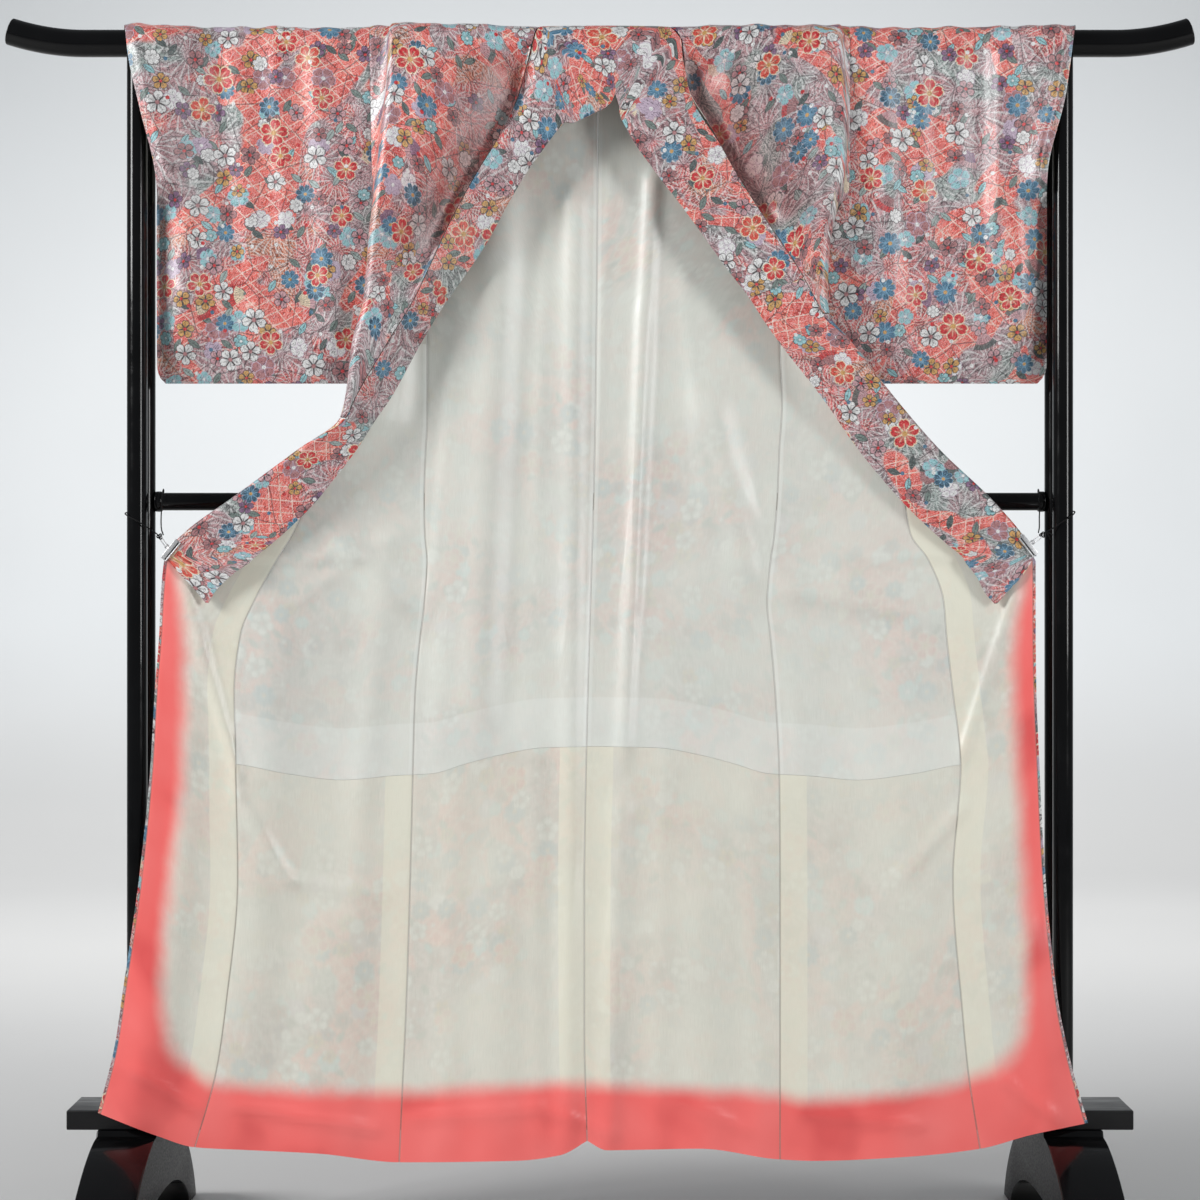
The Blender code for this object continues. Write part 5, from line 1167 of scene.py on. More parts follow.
def silk_bump(p, spot, thread=0.00002, crinkle=0.00050):
    """Weave of fine threads and the soft crinkle of washed silk."""
    u, v, _ = p.split(spot)
    weave = (u * 9000.0).sin() * (v * 7000.0).sin()
    creases = p.noise(p.join(u, v * 0.6), 130.0, 3.0, 0.55, 1.0)
    return p.bump(weave, thread, 0.5, p.bump(creases, crinkle))


def komon_silk(tree):
    p = Surface("komon silk", Sheen_Weight=0.22, Sheen_Roughness=0.35, Specular_IOR_Level=0.90,
                Anisotropic=0.35)
    spot = p.cloth_place()
    u, v, _ = p.split(spot)
    slub = p.noise(p.join(u, v * 6.0), 260.0, 2.0)
    colour = p.multiply(0.5, printed(p, tree, spot), slub.ramp([(0.25, SLUB_SHADE), (0.7, WHITE)]))
    # Painted shade: the print is darkened towards a warm red in the hollow beside the collar
    colour = p.multiply(p.attribute("hollow"), colour, FOLD_SHADE_COLOUR)
    return p.finish(colour, slub.step(0.3, 0.7, 0.33, 0.48), silk_bump(p, spot))


def lining_silk(name, tree, body_colour, extra=None):
    """Thin plain silk; the print behind it and the seam allowances show through."""
    p = Surface(name, Sheen_Weight=0.20, Sheen_Roughness=0.30, Specular_IOR_Level=0.75, Anisotropic=0.45)
    spot = p.cloth_place()
    u, v, _ = p.split(spot)
    show = p.noise(spot, 5.0, 2.0).step(0.35, 0.68, 0.05, 0.21)
    behind = printed(p, tree, p.scatter(spot, SHOW_THROUGH_BLUR, 2600.0, 0.0))
    warp = p.noise(p.join(u * 26.0, v * 0.7), 60.0, 2.0)
    colour = p.multiply(0.6, p.mix(show, body_colour, behind), warp.ramp([(0.3, WARP_SHADE), (0.7, WHITE)]))
    if extra:
        width, strength, shade = ALLOWANCE[extra]
        beside = p.attribute("allowance").step(width - 0.001, width + 0.001, strength, 0.0)
        colour = p.mix(beside, colour, shade)
    if extra == "dye":
        run = p.attribute("dye") + (p.noise(spot, 22.0, 3.0) - 0.5) * DYE_RAGGEDNESS
        # Darker and lighter patches of coral over the border, at random
        depth = p.noise(spot, 7.0, 2.0)
        coral = depth.ramp([(0.30, BORDER_DARK), (0.42, BORDER_MIDDLE), (0.65, BORDER_CORAL)])
        colour = p.mix(run.step(-DYE_SOFTNESS, DYE_SOFTNESS), colour, coral)
    elif extra == "band":
        top = LINING_SEAM + SEAM_BAND
        band = p.attribute("level").step(top - 0.0015, top + 0.0015, 1.0, 0.0)
        colour = p.mix(band * 0.28, colour, BAND_SHADE)
    if extra:
        colour = p.mix(p.attribute("edge").step(0.0004, 0.0017, 0.52, 0.0), colour, SEAM_SHADE)
    return p.finish(colour, warp.step(0.3, 0.7, 0.30, 0.42), silk_bump(p, spot, 0.00001, 0.00010))


# Lacquer, metal and cord
def black_lacquer():
    p = Surface("black lacquer", Coat_Weight=0.15, Coat_Roughness=0.03, Specular_IOR_Level=0.16)
    spot = p.place()
    colour = p.noise(spot, 6.0, 3.0).ramp([(0.3, (0.002, 0.002, 0.0022)), (0.7, (0.004, 0.004, 0.0045))])
    smear = p.noise(spot, 24.0, 4.0, 0.6)
    orange_peel = p.noise(spot, 90.0, 2.0)
    return p.finish(colour, smear.step(0.35, 0.75, 0.10, 0.24), p.bump(orange_peel, 0.00006))


def black_paint(name="black paint", shine=0.25):
    """The base beam and the cheeks of the feet are duller than the lacquered pieces."""
    p = Surface(name, Specular_IOR_Level=shine)
    spot = p.place()
    colour = p.noise(spot, 18.0, 3.0).ramp([(0.3, (0.005, 0.005, 0.0055)), (0.7, (0.009, 0.009, 0.0095))])
    x, y, z = p.split(spot)
    grain = p.noise(p.join(x * 0.05, y, z), 320.0, 3.0)
    return p.finish(colour, grain.step(0.3, 0.7, 0.30, 0.45), p.bump(grain, 0.00012))


def bright_metal():
    p = Surface("bright metal", Metallic=1.0)
    x, y, z = p.split(p.place())
    brushed = p.noise(p.join(x, y * 0.1, z), 900.0, 3.0)
    colour = brushed.ramp([(0.3, srgb(214, 214, 216)), (0.7, srgb(244, 244, 244))])
    return p.finish(colour, brushed.step(0.3, 0.7, 0.34, 0.48), p.bump(brushed, 0.00003))


def painted_groove_shade():
    # Painted shade: near-black metal for the strip that stands for the shaded gap between the clip's bars
    p = Surface("painted groove shade", Metallic=0.6)
    cloud = p.noise(p.place(), 700.0, 2.0)
    colour = cloud.ramp([(0.3, (0.010, 0.010, 0.011)), (0.7, (0.020, 0.020, 0.022))])
    return p.finish(colour, cloud.step(0.3, 0.7, 0.35, 0.55))


def twisted_cord():
    p = Surface("twisted cord", Sheen_Weight=0.04, Specular_IOR_Level=0.15)
    x, y, z = p.split(p.place())
    strands = ((x + y * 0.6 + z * 1.4) * 4200.0).sin()
    fuzz = p.noise(p.place(), 1800.0, 2.0)
    colour = fuzz.ramp([(0.3, (0.002, 0.002, 0.002)), (0.7, (0.007, 0.007, 0.008))])
    return p.finish(colour, fuzz.step(0.3, 0.7, 0.55, 0.75), p.bump(strands, 0.00025))


# Cloth pieces
def ride(item, *nodes):
    """Put a finished piece in the scene in place of its solids."""
    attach(item, "root")
    if nodes:
        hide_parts(*nodes)
    return item


def hang(item, name):
    ride(item, name)


def clustered(count, start, end, pull=0.62):
    """Places from start to end, closer together near both ends."""
    t = np.linspace(0.0, 1.0, count + 1)
    return start + (end - start) * (t - pull * np.sin(2 * np.pi * t) / (2 * np.pi))


def stepped(*stops):
    """Levels from the first stop down to the last, in even steps that meet every stop."""
    levels = [stops[0]]
    for high, low in zip(stops, stops[1:]):
        count = max(1, int(round((high - low) / STEP_DOWN)))
        levels += [high + (low - high) * (i + 1) / count for i in range(count)]
    return levels


def running(grid, axis):
    """Distance along the rows or the columns of a grid, from its first point."""
    steps = np.linalg.norm(np.diff(grid, axis=axis), axis=2)
    return np.insert(np.cumsum(steps, axis=axis), 0, 0.0, axis=axis)


def cloth_coordinates(grid, start=(0.0, 0.0), turn=1.0):
    """Place of each point on the cloth itself, in metres: across the piece and along it."""
    down = running(grid, 0)
    down = 0.5 * down + 0.5 * down.mean(axis=1, keepdims=True)
    return turn * running(grid, 1) + start[0], down + start[1]


def band_coordinates(grid, start):
    """The same for a band whose rows lie aslant to its length."""
    length = unit(np.gradient(grid, axis=0).mean(axis=1))
    length = unit(np.array([length[max(0, i - 4):i + 5].mean(axis=0) for i in range(len(length))]))
    middle = grid.shape[1] // 2
    steps = np.diff(grid[:, middle], axis=0)
    down = np.insert(np.cumsum((steps * length[1:]).sum(axis=1)), 0, 0.0)
    across = np.diff(grid, axis=1)
    along_band = (across * length[:, None, :]).sum(axis=2)
    aside = np.linalg.norm(across - along_band[..., None] * length[:, None, :], axis=2)
    along_band, aside = (np.insert(np.cumsum(parts, axis=1), 0, 0.0, axis=1)
                         for parts in (along_band, aside))
    return aside + start[0], down[:, None] + along_band - along_band[:, middle:middle + 1] + start[1]


def seam_dip(grid):
    """How far the cloth sinks beside the seams at its two sides."""
    across = running(grid, 1)
    dip = sum(np.exp(-(past / SEAM_DIP_WIDTH) ** 2) for past in (across, across[:, -1:] - across))
    return SEAM_DIP * np.minimum(dip, 1.0)[..., None]


def shell(name, low, high, material, coordinates, there=None, closed=False, marks=None, inside=None):
    """Closed thin wall between two grids, with its place on the cloth and other marks.

    there says which cells exist; closed joins the last column to the first, and the coordinates then
    have one column more than the grids. inside is the material of the face on the low grid."""
    rows, columns = low.shape[:2]
    index = np.arange(rows * columns).reshape(rows, columns)
    wide = coordinates[0].shape[1]
    spot = np.arange(rows * wide).reshape(rows, wide)
    last = columns if closed else columns - 1
    i, j = np.meshgrid(np.arange(rows - 1), np.arange(last), indexing="ij")
    k = (j + 1) % columns
    if there is None:
        there = np.ones(i.shape, dtype=bool)
    corner = (index[i, j], index[i, k], index[i + 1, k], index[i + 1, j])
    place = (spot[i, j], spot[i, j + 1], spot[i + 1, j + 1], spot[i + 1, j])
    off = rows * columns
    faces = [np.stack(corner, axis=-1)[there], np.stack(corner[::-1], axis=-1)[there] + off]
    spots = [np.stack(place, axis=-1)[there], np.stack(place[::-1], axis=-1)[there]]

    # Walls at the edges, where the next cell doesn't exist
    around = np.zeros((rows + 1, last + 2), dtype=bool)
    around[1:-1, 1:-1] = there
    if closed:
        around[1:-1, 0], around[1:-1, -1] = there[:, -1], there[:, 0]
    for n, (down, right) in enumerate(((-1, 0), (0, 1), (1, 0), (0, -1))):
        p, q, sp, sq = corner[n], corner[(n + 1) % 4], place[n], place[(n + 1) % 4]
        rim = there & ~around[1 + down:rows + down, 1 + right:last + 1 + right]
        faces.append(np.stack((q, p, p + off, q + off), axis=-1)[rim])
        spots.append(np.stack((sq, sp, sp, sq), axis=-1)[rim])
    quads, corners = np.concatenate(faces), np.concatenate(spots)
    points = np.concatenate((low.reshape(-1, 3), high.reshape(-1, 3)))
    used, compact = np.unique(quads, return_inverse=True)
    quads, points = compact.reshape(quads.shape), points[used]

    # The face on the low grid has to look away from the high one
    a, b, c, d = (points[column] for column in quads[:len(faces[0])].T)
    through_wall = (low - high).reshape(-1, 3)[faces[0][:, 0]]
    if float((np.cross(c - a, d - b) * through_wall).sum()) < 0.0:
        quads, corners = quads[:, ::-1], corners[:, ::-1]
    mesh = bpy.data.meshes.new(name)
    mesh.from_pydata(points.tolist(), [], quads.tolist())
    mesh.shade_smooth()
    mesh.set_sharp_from_angle(angle=math.radians(60))
    places = np.stack(coordinates, axis=-1).reshape(-1, 2)[corners.reshape(-1)]
    mesh.uv_layers.new(name="cloth").data.foreach_set("uv", places.astype(np.float32).ravel())
    for key, values in (marks or {}).items():
        flat = np.asarray(values, dtype=np.float32).reshape(-1)
        attribute = mesh.attributes.new(key, "FLOAT", "POINT")
        attribute.data.foreach_set("value", np.concatenate((flat, flat))[used])
    mesh.materials.append(material)
    if inside:
        mesh.materials.append(inside)
        number = np.zeros(len(quads), dtype=np.int32)
        number[:len(faces[0])] = 1
        mesh.polygons.foreach_set("material_index", number)
    return linked(name, mesh)


def cells_of(grid):
    """Row and column of each cell of a grid."""
    return np.meshgrid(np.arange(grid.shape[0] - 1), np.arange(grid.shape[1] - 1), indexing="ij")


def front_shares(side, z):
    """Columns across the front above the tip, as shares of the front's stretch."""
    first = share_of(side, z, "front", "fold_start")
    last = min(0.999, share_of(side, z, "front", "fold_end"))
    return np.concatenate((clustered(BEHIND, 0.0, first), np.linspace(first, last, ROUND + 1)[1:],
                           clustered(BEFORE, last, 1.0, 0.4)[1:]))


def hump(past, start, width):
    """Rises from 0 to 1 over the start and falls again over the width behind it."""
    return ease(past / start) * (1.0 - ease((past - start) / width))


def beside_collar(row, z):
    """A row of the front sunk in a hollow along the collar, which it runs in under, and creased.

    Also how much painted shade each point takes, most next to the collar and fading away from it."""
    fold = BEHIND + ROUND
    past = running(row[None, ::-1], 1)[0][::-1]
    strength = ease((RAIL_Z - z) / HOLLOW_FADE) * ease((past[fold] - HOLLOW_FADE) / HOLLOW_ROOM)
    row = row.copy()
    under = hump(past, UNDER_START, UNDER_WIDTH)
    row[:, 0] += strength * HOLLOW_UNDER * under * np.sign(row[-1, 0] - row[fold, 0])
    row[:, 1] += strength * HOLLOW_DEPTH * hump(past, HOLLOW_START, HOLLOW_WIDTH)
    relief = folds_at(row[:, 0], row[:, 2], SLEEVE_CREASES) * ease(past / CREASE_COLLAR_FADE)
    row[fold:, 1] -= (relief * ease((RAIL_Z - z) / CREASE_RAIL_FADE) * strength)[fold:]
    return row, strength * (1.0 - ease(past / FOLD_SHADE_WIDTH))


def make_body(side, material, inside):
    """Front and back in one length of printed silk, over the rail without a shoulder seam."""
    levels = stepped(RAIL_Z, SIDE_SEAM_TOP, ABOVE_TIP[side], TIP[side], BELOW_TIP[side], COLLAR_FOOT,
                     LINING_SEAM, HEM)
    even = clustered(BODY_WIDE, 0.0, 1.0)
    rows = [back_row(side, z, even) for z in reversed(levels)]
    normals = [back_normals(side, z, even) for z in reversed(levels)]
    top = front_shares(side, RAIL_Z)
    for angle in np.linspace(-90.0, 90.0, BODY_RAIL_ANGLES)[1:-1]:
        rows.append(rail_row(side, angle, top + (even - top) * to_the_back(angle)))
        rows[-1][:, 2] += gathers(OUT[side] * rows[-1][:, 0], angle)
        normals.append(None)
    behind = clustered(BEHIND, 0.0, 1.0)
    first_front = len(rows)
    last_wide = 0
    for z in levels:
        if z > TIP[side] + 1e-9:
            fractions = front_shares(side, z)
            last_wide = len(rows)
        else:
            fractions = np.concatenate((behind, np.ones(ROUND + BEFORE)))
        rows.append(front_row(side, z, fractions, "front"))
        normals.append(front_normals(side, z, fractions, "front"))
    grid = seen_from_front(side, np.array(rows))
    # hollow carries the share of painted shade in the hollow beside the collar to the material
    hollow = np.zeros(grid.shape[:2])
    for i in range(first_front, last_wide):
        grid[i], hollow[i] = beside_collar(grid[i], levels[i - first_front])
    out = -OUT[side] * unit(np.cross(np.gradient(grid, axis=0), np.gradient(grid, axis=1)))
    for i, row in enumerate(normals):
        if row is not None:
            out[i] = row
    i, j = cells_of(grid)
    outer = grid + out * (SEAM / 2 + CLOTH - seam_dip(grid))
    item = shell(f"body_{side}_silk", grid + out * SEAM / 2, outer, material,
                 cloth_coordinates(grid, CUT_START[side], OUT[side]), (i < last_wide) | (j < BEHIND),
                 marks={"hollow": hollow}, inside=inside)
    hang(item, "body_" + side)


def level_sheet(name, side, row, normal, levels, faces, material, flat, start=(0.0, 0.0), dye=False,
                inner=0):
    """A piece between two levels; faces says how far its near and far face are off the cut line.

    The seam allowances are turned outwards, so they show beside the piece's inner column."""
    seen = np.array([row(z) for z in levels])
    out = np.array([normal(z) for z in levels])
    grid = seen_from_front(side, seen)
    near, far = faces
    across = running(grid, 1)
    marks = {"level": np.repeat(np.array(levels)[:, None], grid.shape[1], axis=1),
             "edge": np.minimum(across, across[:, -1:] - across),
             "allowance": np.abs(across - across[:, [inner]])}
    if dye:
        marks["dye"] = dye_run(side, seen)
    item = shell(name + "_silk", grid + out * near, grid + out * (far - seam_dip(grid) * np.sign(far)),
                 material, cloth_coordinates(grid, np.add(start, CUT_START[side]), OUT[side]), marks=marks)
    hang(item, name)


def front_sheet(name, side, levels, shares, stretch, *rest):
    """Behind the fold, the columns of the front run up to the fold above the tip, to the seam below it."""
    def columns(z):
        wide = stretch == "front" and z > TIP[side]
        return shares * share_of(side, z, "front", "fold_start") if wide else shares

    level_sheet(name, side, lambda z: front_row(side, z, columns(z), stretch),
                lambda z: front_normals(side, z, columns(z), stretch), levels, *rest)


def back_sheet(name, side, levels, shares, *rest):
    level_sheet(name, side, lambda z: back_row(side, z, shares), lambda z: back_normals(side, z, shares),
                levels, *rest, inner=-1)


def dye_run(side, seen):
    """How far a point is inside the soft edge of the coral border."""
    sideways = seen[..., 0] - read("border_" + side, "out", seen[..., 2])
    down = read("border_foot_" + side, "z", seen[..., 0]) - seen[..., 2]
    return BORDER_CORNER * np.logaddexp(sideways / BORDER_CORNER, down / BORDER_CORNER)


def make_okumi(side, material):
    levels = stepped(TIP[side], BELOW_TIP[side], COLLAR_FOOT, LINING_SEAM, HEM)
    front_sheet("okumi_" + side, side, levels, clustered(OKUMI_WIDE, 0.0, 1.0), "okumi",
                (SEAM / 2, SEAM / 2 + CLOTH), material, (0.15, 1.10), (0.5, 0.2))


def make_linings(side, white, cream):
    faces = (-SEAM / 2, -SEAM / 2 - CLOTH)
    wide = clustered(BODY_WIDE, 0.0, 1.0)
    behind = clustered(BEHIND, 0.0, 1.0)
    okumi = clustered(OKUMI_WIDE, 0.0, EDGE_SHARE)
    top = stepped(BACK_LINING_TOP, SIDE_SEAM_TOP, TIP[side], COLLAR_FOOT, LINING_SEAM + SEAM / 2)
    low = stepped(LINING_SEAM - SEAM / 2, HEM)
    full = stepped(BELOW_TIP[side], COLLAR_FOOT, LINING_SEAM, HEM)
    below = stepped(BELOW_TIP[side], COLLAR_FOOT, LINING_SEAM + SEAM / 2)
    if FRONT_LINING_TOP > TIP[side]:
        below = stepped(FRONT_LINING_TOP, ABOVE_TIP[side], TIP[side], BELOW_TIP[side]) + below[1:]
    back_sheet("lining_back_" + side, side, top, wide, faces, white, (0.30, 1.00))
    back_sheet("hakkake_back_" + side, side, low, wide, faces, cream, (0.28, 0.55), (0.1, 1.3), True)
    front_sheet("lining_front_" + side, side, below, behind, "front", faces, white, (0.24, 0.60), (0.9, 0.4))
    front_sheet("hakkake_front_" + side, side, low, behind, "front", faces, cream, (0.26, 0.55), (1.2, 0.7),
                True)
    front_sheet("hakkake_okumi_" + side, side, full, okumi, "okumi", faces, cream, (0.15, 1.10), (0.3, 0.1),
                True)


# The collar
def collar_shares(side, z):
    split = share_of(side, z, "collar", "fold_end")
    if split < 0.02:
        return np.linspace(0.0, 1.0, COLLAR_FINE + 1)
    return np.concatenate((np.linspace(0.0, split, COLLAR_BEND + 1),
                           np.linspace(split, 1.0, COLLAR_FINE - COLLAR_BEND + 1)[1:]))


def unroll(row):
    """A row of the collar as distance out, distance down from the rail's top, and height off it."""
    out, y, z = row.T
    on_rail = z > RAIL_Z
    down = np.where(on_rail, np.arctan2(-y, z - RAIL_Z) * DRAPE_RADIUS, drape_length(RAIL_Z) + RAIL_Z - z)
    height = np.where(on_rail, np.hypot(y, z - RAIL_Z), -y) - DRAPE_RADIUS
    return np.column_stack((out, down, height))


def roll(row):
    """The reverse of unroll."""
    out, down, height = row.T
    quarter = drape_length(RAIL_Z)
    angle = np.minimum(down, quarter) / DRAPE_RADIUS
    radius = DRAPE_RADIUS + height
    return np.column_stack((out, -radius * np.sin(angle),
                            RAIL_Z + radius * np.cos(angle) - np.maximum(0.0, down - quarter)))


def neck_fine(seam, edge, lift):
    """Row of the collar over the rail from its seam to its free edge, unrolled."""
    start, end = (np.array((out, drape_length(where))) for out, where in (seam, edge))
    inset = NECK_SEAM / math.hypot(*(end - start))
    share = inset + (1.0 - inset) * np.linspace(0.0, 1.0, COLLAR_FINE + 1)
    return np.column_stack((start + (end - start) * share[:, None],
                            COLLAR_HALF + SEAM + lift * ease(share * NECK_LIFT_RISE)))


def collar_half(side):
    """Rows of one half of the collar, from its cut end to the centre behind the neck.

    Gives the points, the outside of the cloth where the fronts set it, and the count of end rows."""
    bend = COLLAR_BEND / COLLAR_FINE
    share = np.maximum(0.0, np.linspace(0.0, 1.0, COLLAR_FINE + 1) - bend) / (1.0 - bend)
    fold, roll_radius, fold_y = several("front_" + side, "fold roll fold_y", COLLAR_FOOT)
    foot = (COLLAR_FOOT, fold - roll_radius, float(read("collar_" + side, "edge", COLLAR_FOOT)),
            fold_y - roll_radius)
    rows = []
    for z, start, edge, depth in through((*reversed(COLLAR_END[side]), foot), COLLAR_END_STEPS)[:-1]:
        rows.append(with_height(with_height((start + (edge - start) * share)[:, None], depth), z))
    ends = len(rows)
    normals = [None] * ends
    for z in reversed(stepped(NECK_JOIN, SIDE_SEAM_TOP, ABOVE_TIP[side], TIP[side], BELOW_TIP[side],
                              COLLAR_FOOT)):
        rows.append(front_row(side, z, collar_shares(side, z), "collar"))
        normals.append(front_normals(side, z, collar_shares(side, z), "collar"))
    control = [unroll(front_row(side, z, collar_shares(side, z), "collar")) for z in (NECK_GUIDE, NECK_JOIN)]
    neck = rows_of("neck_" + side)[1]
    for z, part, lift in NECK_FOOT:
        edge = neck[0, 2:] + (np.array(NECK_FOOT_EDGE[side]) - neck[0, 2:]) * part
        control.append(neck_fine((float(read("collar_" + side, "seam", z)), z), edge, lift))
    control += [neck_fine((seam, angle), edge, NECK_LIFT) for angle, seam, *edge in neck]
    rows += [roll(row) for row in through(control, NECK_STEPS)[NECK_STEPS + 1:]]
    normals += [None] * (len(rows) - len(normals))
    return [seen_from_front(side, row) for row in rows], normals, ends


def slanted(rows):
    """Rows whose two ends are cut square to the collar, not level."""
    place = np.arange(len(rows), dtype=float)
    result = rows.copy()
    for column in range(rows.shape[1]):
        trimmed = OVER_COLLAR_SLANT * (1.0 - column / (rows.shape[1] - 1))
        at = place.copy()
        at[:SLANT_ROWS] = trimmed + (SLANT_ROWS - trimmed) * place[:SLANT_ROWS] / SLANT_ROWS
        at[-SLANT_ROWS:] = place[-1] - at[:SLANT_ROWS][::-1]
        for axis in range(3):
            result[:, column, axis] = np.interp(at, place, rows[:, column, axis])
    return result


def make_collar(material):
    """Collar in one length and the over-collar sewn round its neck and chest."""
    left, left_out, left_ends = collar_half("left")
    right, right_out, right_ends = collar_half("right")
    grid = np.array(left + right[-2::-1])
    normals = unit(np.cross(np.gradient(grid, axis=1), np.gradient(grid, axis=0)))
    for i, row in enumerate(left_out + right_out[-2::-1]):
        if row is not None:
            normals[i] = row
    column = np.arange(COLLAR_FINE + 1)
    rounding = np.exp(-(np.minimum(column, COLLAR_FINE - column) / 1.2) ** 2)[None, :, None]
    thick = COLLAR_HALF - COLLAR_ROUNDING * rounding
    i, j = cells_of(grid)
    whole = (i >= left_ends) & (i < len(grid) - 1 - right_ends)
    item = shell("collar_silk", grid - normals * thick, grid + normals * thick, material,
                 band_coordinates(grid, COLLAR_START), whole | (j >= COLLAR_BEND))
    hang(item, "collar")
    reach = grid[:, 0, 2] > OVER_COLLAR_END
    cover, out = slanted(grid[reach]), slanted(normals[reach])
    inner = cover + out * (COLLAR_HALF + SEAM)
    item = shell("over_collar_silk", inner, inner + out * (CLOTH - COLLAR_ROUNDING * rounding), material,
                 band_coordinates(cover, OVER_COLLAR_START))
    hang(item, "over_collar")


# The sleeves
def make_sleeve(side, material, inside):
    grid = seen_from_front(side, np.array([sleeve_ring(side, share) for share in SLEEVE_SHARES]))
    round_sleeve = (np.roll(grid, -1, axis=1) - np.roll(grid, 1, axis=1)) / 2
    out = OUT[side] * unit(np.cross(round_sleeve, np.gradient(grid, axis=0)))
    closed = np.concatenate((grid, grid[:, :1]), axis=1)
    ring = running(closed, 1)
    ring[:] = ring.mean(axis=0)
    dip = SEAM_DIP * np.exp(-(running(grid, 0) / SEAM_DIP_WIDTH) ** 2)[..., None]
    outer = grid + out * (SEAM / 2 + CLOTH - dip)
    across, down = SLEEVE_START[side]
    item = shell(f"sleeve_{side}_silk", grid + out * SEAM / 2, outer, material,
                 (closed[..., 0] + across, ring + down), closed=True, inside=inside)
    hang(item, "sleeve_" + side)


def sleeve_half(side, out, z):
    """Half of the distance between the sleeve's layers at a place."""
    centre, rise = read("swell", "centre", z), read("swell", "rise", z)
    half = read("sleeve_depth", "half", z) + rise * ease((out - centre + SWELL_LENGTH) / SWELL_LENGTH)
    closing = ease((CUFF_OPENING_END - z) / CUFF_CLOSING_HEIGHT)
    closed = closing * (1.0 - ease((read("cuff_" + side, "out", z) - out) / CUFF_CLOSING_LENGTH))
    return CUFF_CLOSED_HALF + (half - CUFF_CLOSED_HALF) * (1.0 - closed)


def sleeve_inner(side, z, layer):
    """Distance out of the sleeve's inner edge on its front or back layer."""
    edge = front_side if layer == "front" else back_side
    if z >= ARMHOLE_END:
        return edge(side, z)[0] + SEAM / 2
    if layer == "front":
        return float(read("furi_" + side, "out", z))
    return edge(side, ARMHOLE_END)[0] + SEAM / 2 + FURI_CLEARANCE


def sleeve_point(side, share, z, layer):
    """Point of a hanging layer at a share of the sleeve's width."""
    inner = sleeve_inner(side, z, layer)
    out = inner + (read("cuff_" + side, "out", z) - inner) * share
    half = sleeve_half(side, out, z)
    if layer == "back":
        return out * (1.0 - 2.0 * share * half / EYE_DISTANCE), half, z
    relief = float(folds_at(np.array([OUT[side] * out]), np.array([z]), SLEEVE_CREASES)[0])
    relief *= ease(share / CREASE_INNER_FADE) * ease((1.0 - share) / CREASE_OUTER_FADE)
    relief *= ease((z - SLEEVE_BOTTOM) / CREASE_BOTTOM_FADE) * ease((RAIL_Z - z) / CREASE_RAIL_FADE)
    return out, -half - relief, z


def sleeve_on_rail(side, share, angle):
    """Point of the sleeve over the rail and the swell above the posts."""
    front, back = (sleeve_inner(side, RAIL_Z, layer) for layer in ("front", "back"))
    inner = front + (back - front) * to_the_back(angle)
    top, low = (read("cuff_" + side, "out", z) for z in (CUFF_TOP, RAIL_Z))
    a = math.radians(angle)
    out = inner + (low + (top - low) * math.cos(a) - inner) * share
    half = float(sleeve_half(side, out, RAIL_Z))
    flat = math.copysign(abs(math.sin(a)) ** (DRAPE_RADIUS / half) ** SWELL_FLATNESS, a)
    lift = float(gathers(OUT[side] * out, angle))
    return out, -half * flat, RAIL_Z + DRAPE_RADIUS * math.cos(a) + lift


def sleeve_ring(side, share):
    """Ring round the sleeve at a share of its width: up the back, over the rail, down the front."""
    levels = stepped(RAIL_Z, ARMHOLE_END, SLEEVE_LOWEST_ROW)
    outer = read("cuff_" + side, "out", SLEEVE_BOTTOM)
    inner = sleeve_inner(side, SLEEVE_BOTTOM, "back")
    ring = [(inner + (outer - inner) * share, 0.0, SLEEVE_BOTTOM)]
    ring += [sleeve_point(side, share, z, "back") for z in reversed(levels)]
    ring += [sleeve_on_rail(side, share, angle) for angle in reversed(RAIL_ANGLES)]
    ring += [sleeve_point(side, share, z, "front") for z in levels]
    return np.array(ring)


# The rack
def mesh_piece(name, form, material, smooth_angle=40.0):
    """Object from a bmesh, shaded smooth between its sharp edges."""
    bmesh.ops.recalc_face_normals(form, faces=form.faces)
    mesh = bpy.data.meshes.new(name)
    form.to_mesh(mesh)
    form.free()
    mesh.shade_smooth()
    mesh.set_sharp_from_angle(angle=math.radians(smooth_angle))
    mesh.materials.append(material)
    return linked(name, mesh)


def rings_form(rings):
    """Closed form through rings of points, and its flat faces at the two ends."""
    form = bmesh.new()
    loops = [[form.verts.new(point) for point in ring] for ring in rings]
    for one, two in zip(loops, loops[1:]):
        for k in range(len(one)):
            n = (k + 1) % len(one)
            form.faces.new((one[k], one[n], two[n], two[k]))
    caps = [form.faces.new(loops[0]), form.faces.new(loops[-1])]
    bmesh.ops.recalc_face_normals(form, faces=form.faces)
    return form, caps


def bevelled(form, edges, offset, segments):
    bmesh.ops.bevel(form, geom=edges, offset=offset, segments=segments, affect="EDGES", profile=0.5,
                    clamp_overlap=True)
    return form


def turns(count):
    """Cosine and sine of even steps round a circle."""
    return [(math.cos(a), math.sin(a)) for a in (2 * math.pi * k / count for k in range(count))]


def lathe(name, profile, material, place, axis="Z", sides=64):
    """Turned piece from (radius, height) points along an axis through a place."""
    rings = []
    for radius, height in profile:
        ring = []
        for x, y in turns(sides):
            x, y = radius * x, radius * y
            turned = {"Z": (x, y, height), "X": (height, x, y), "Y": (x, height, y)}[axis]
            ring.append(tuple(p + t for p, t in zip(place, turned)))
        rings.append(ring)
    return mesh_piece(name, rings_form(rings)[0], material)


def rounded_end(radius, height, edge, direction, steps=6):
    """Profile points that round the edge of a flat end; direction is +1 towards it from the side."""
    quarter = [math.pi / 2 * k / steps for k in range(steps + 1)]
    return [(radius - edge * (1 - math.cos(a)), height - direction * edge * (1 - math.sin(a)))
            for a in quarter]


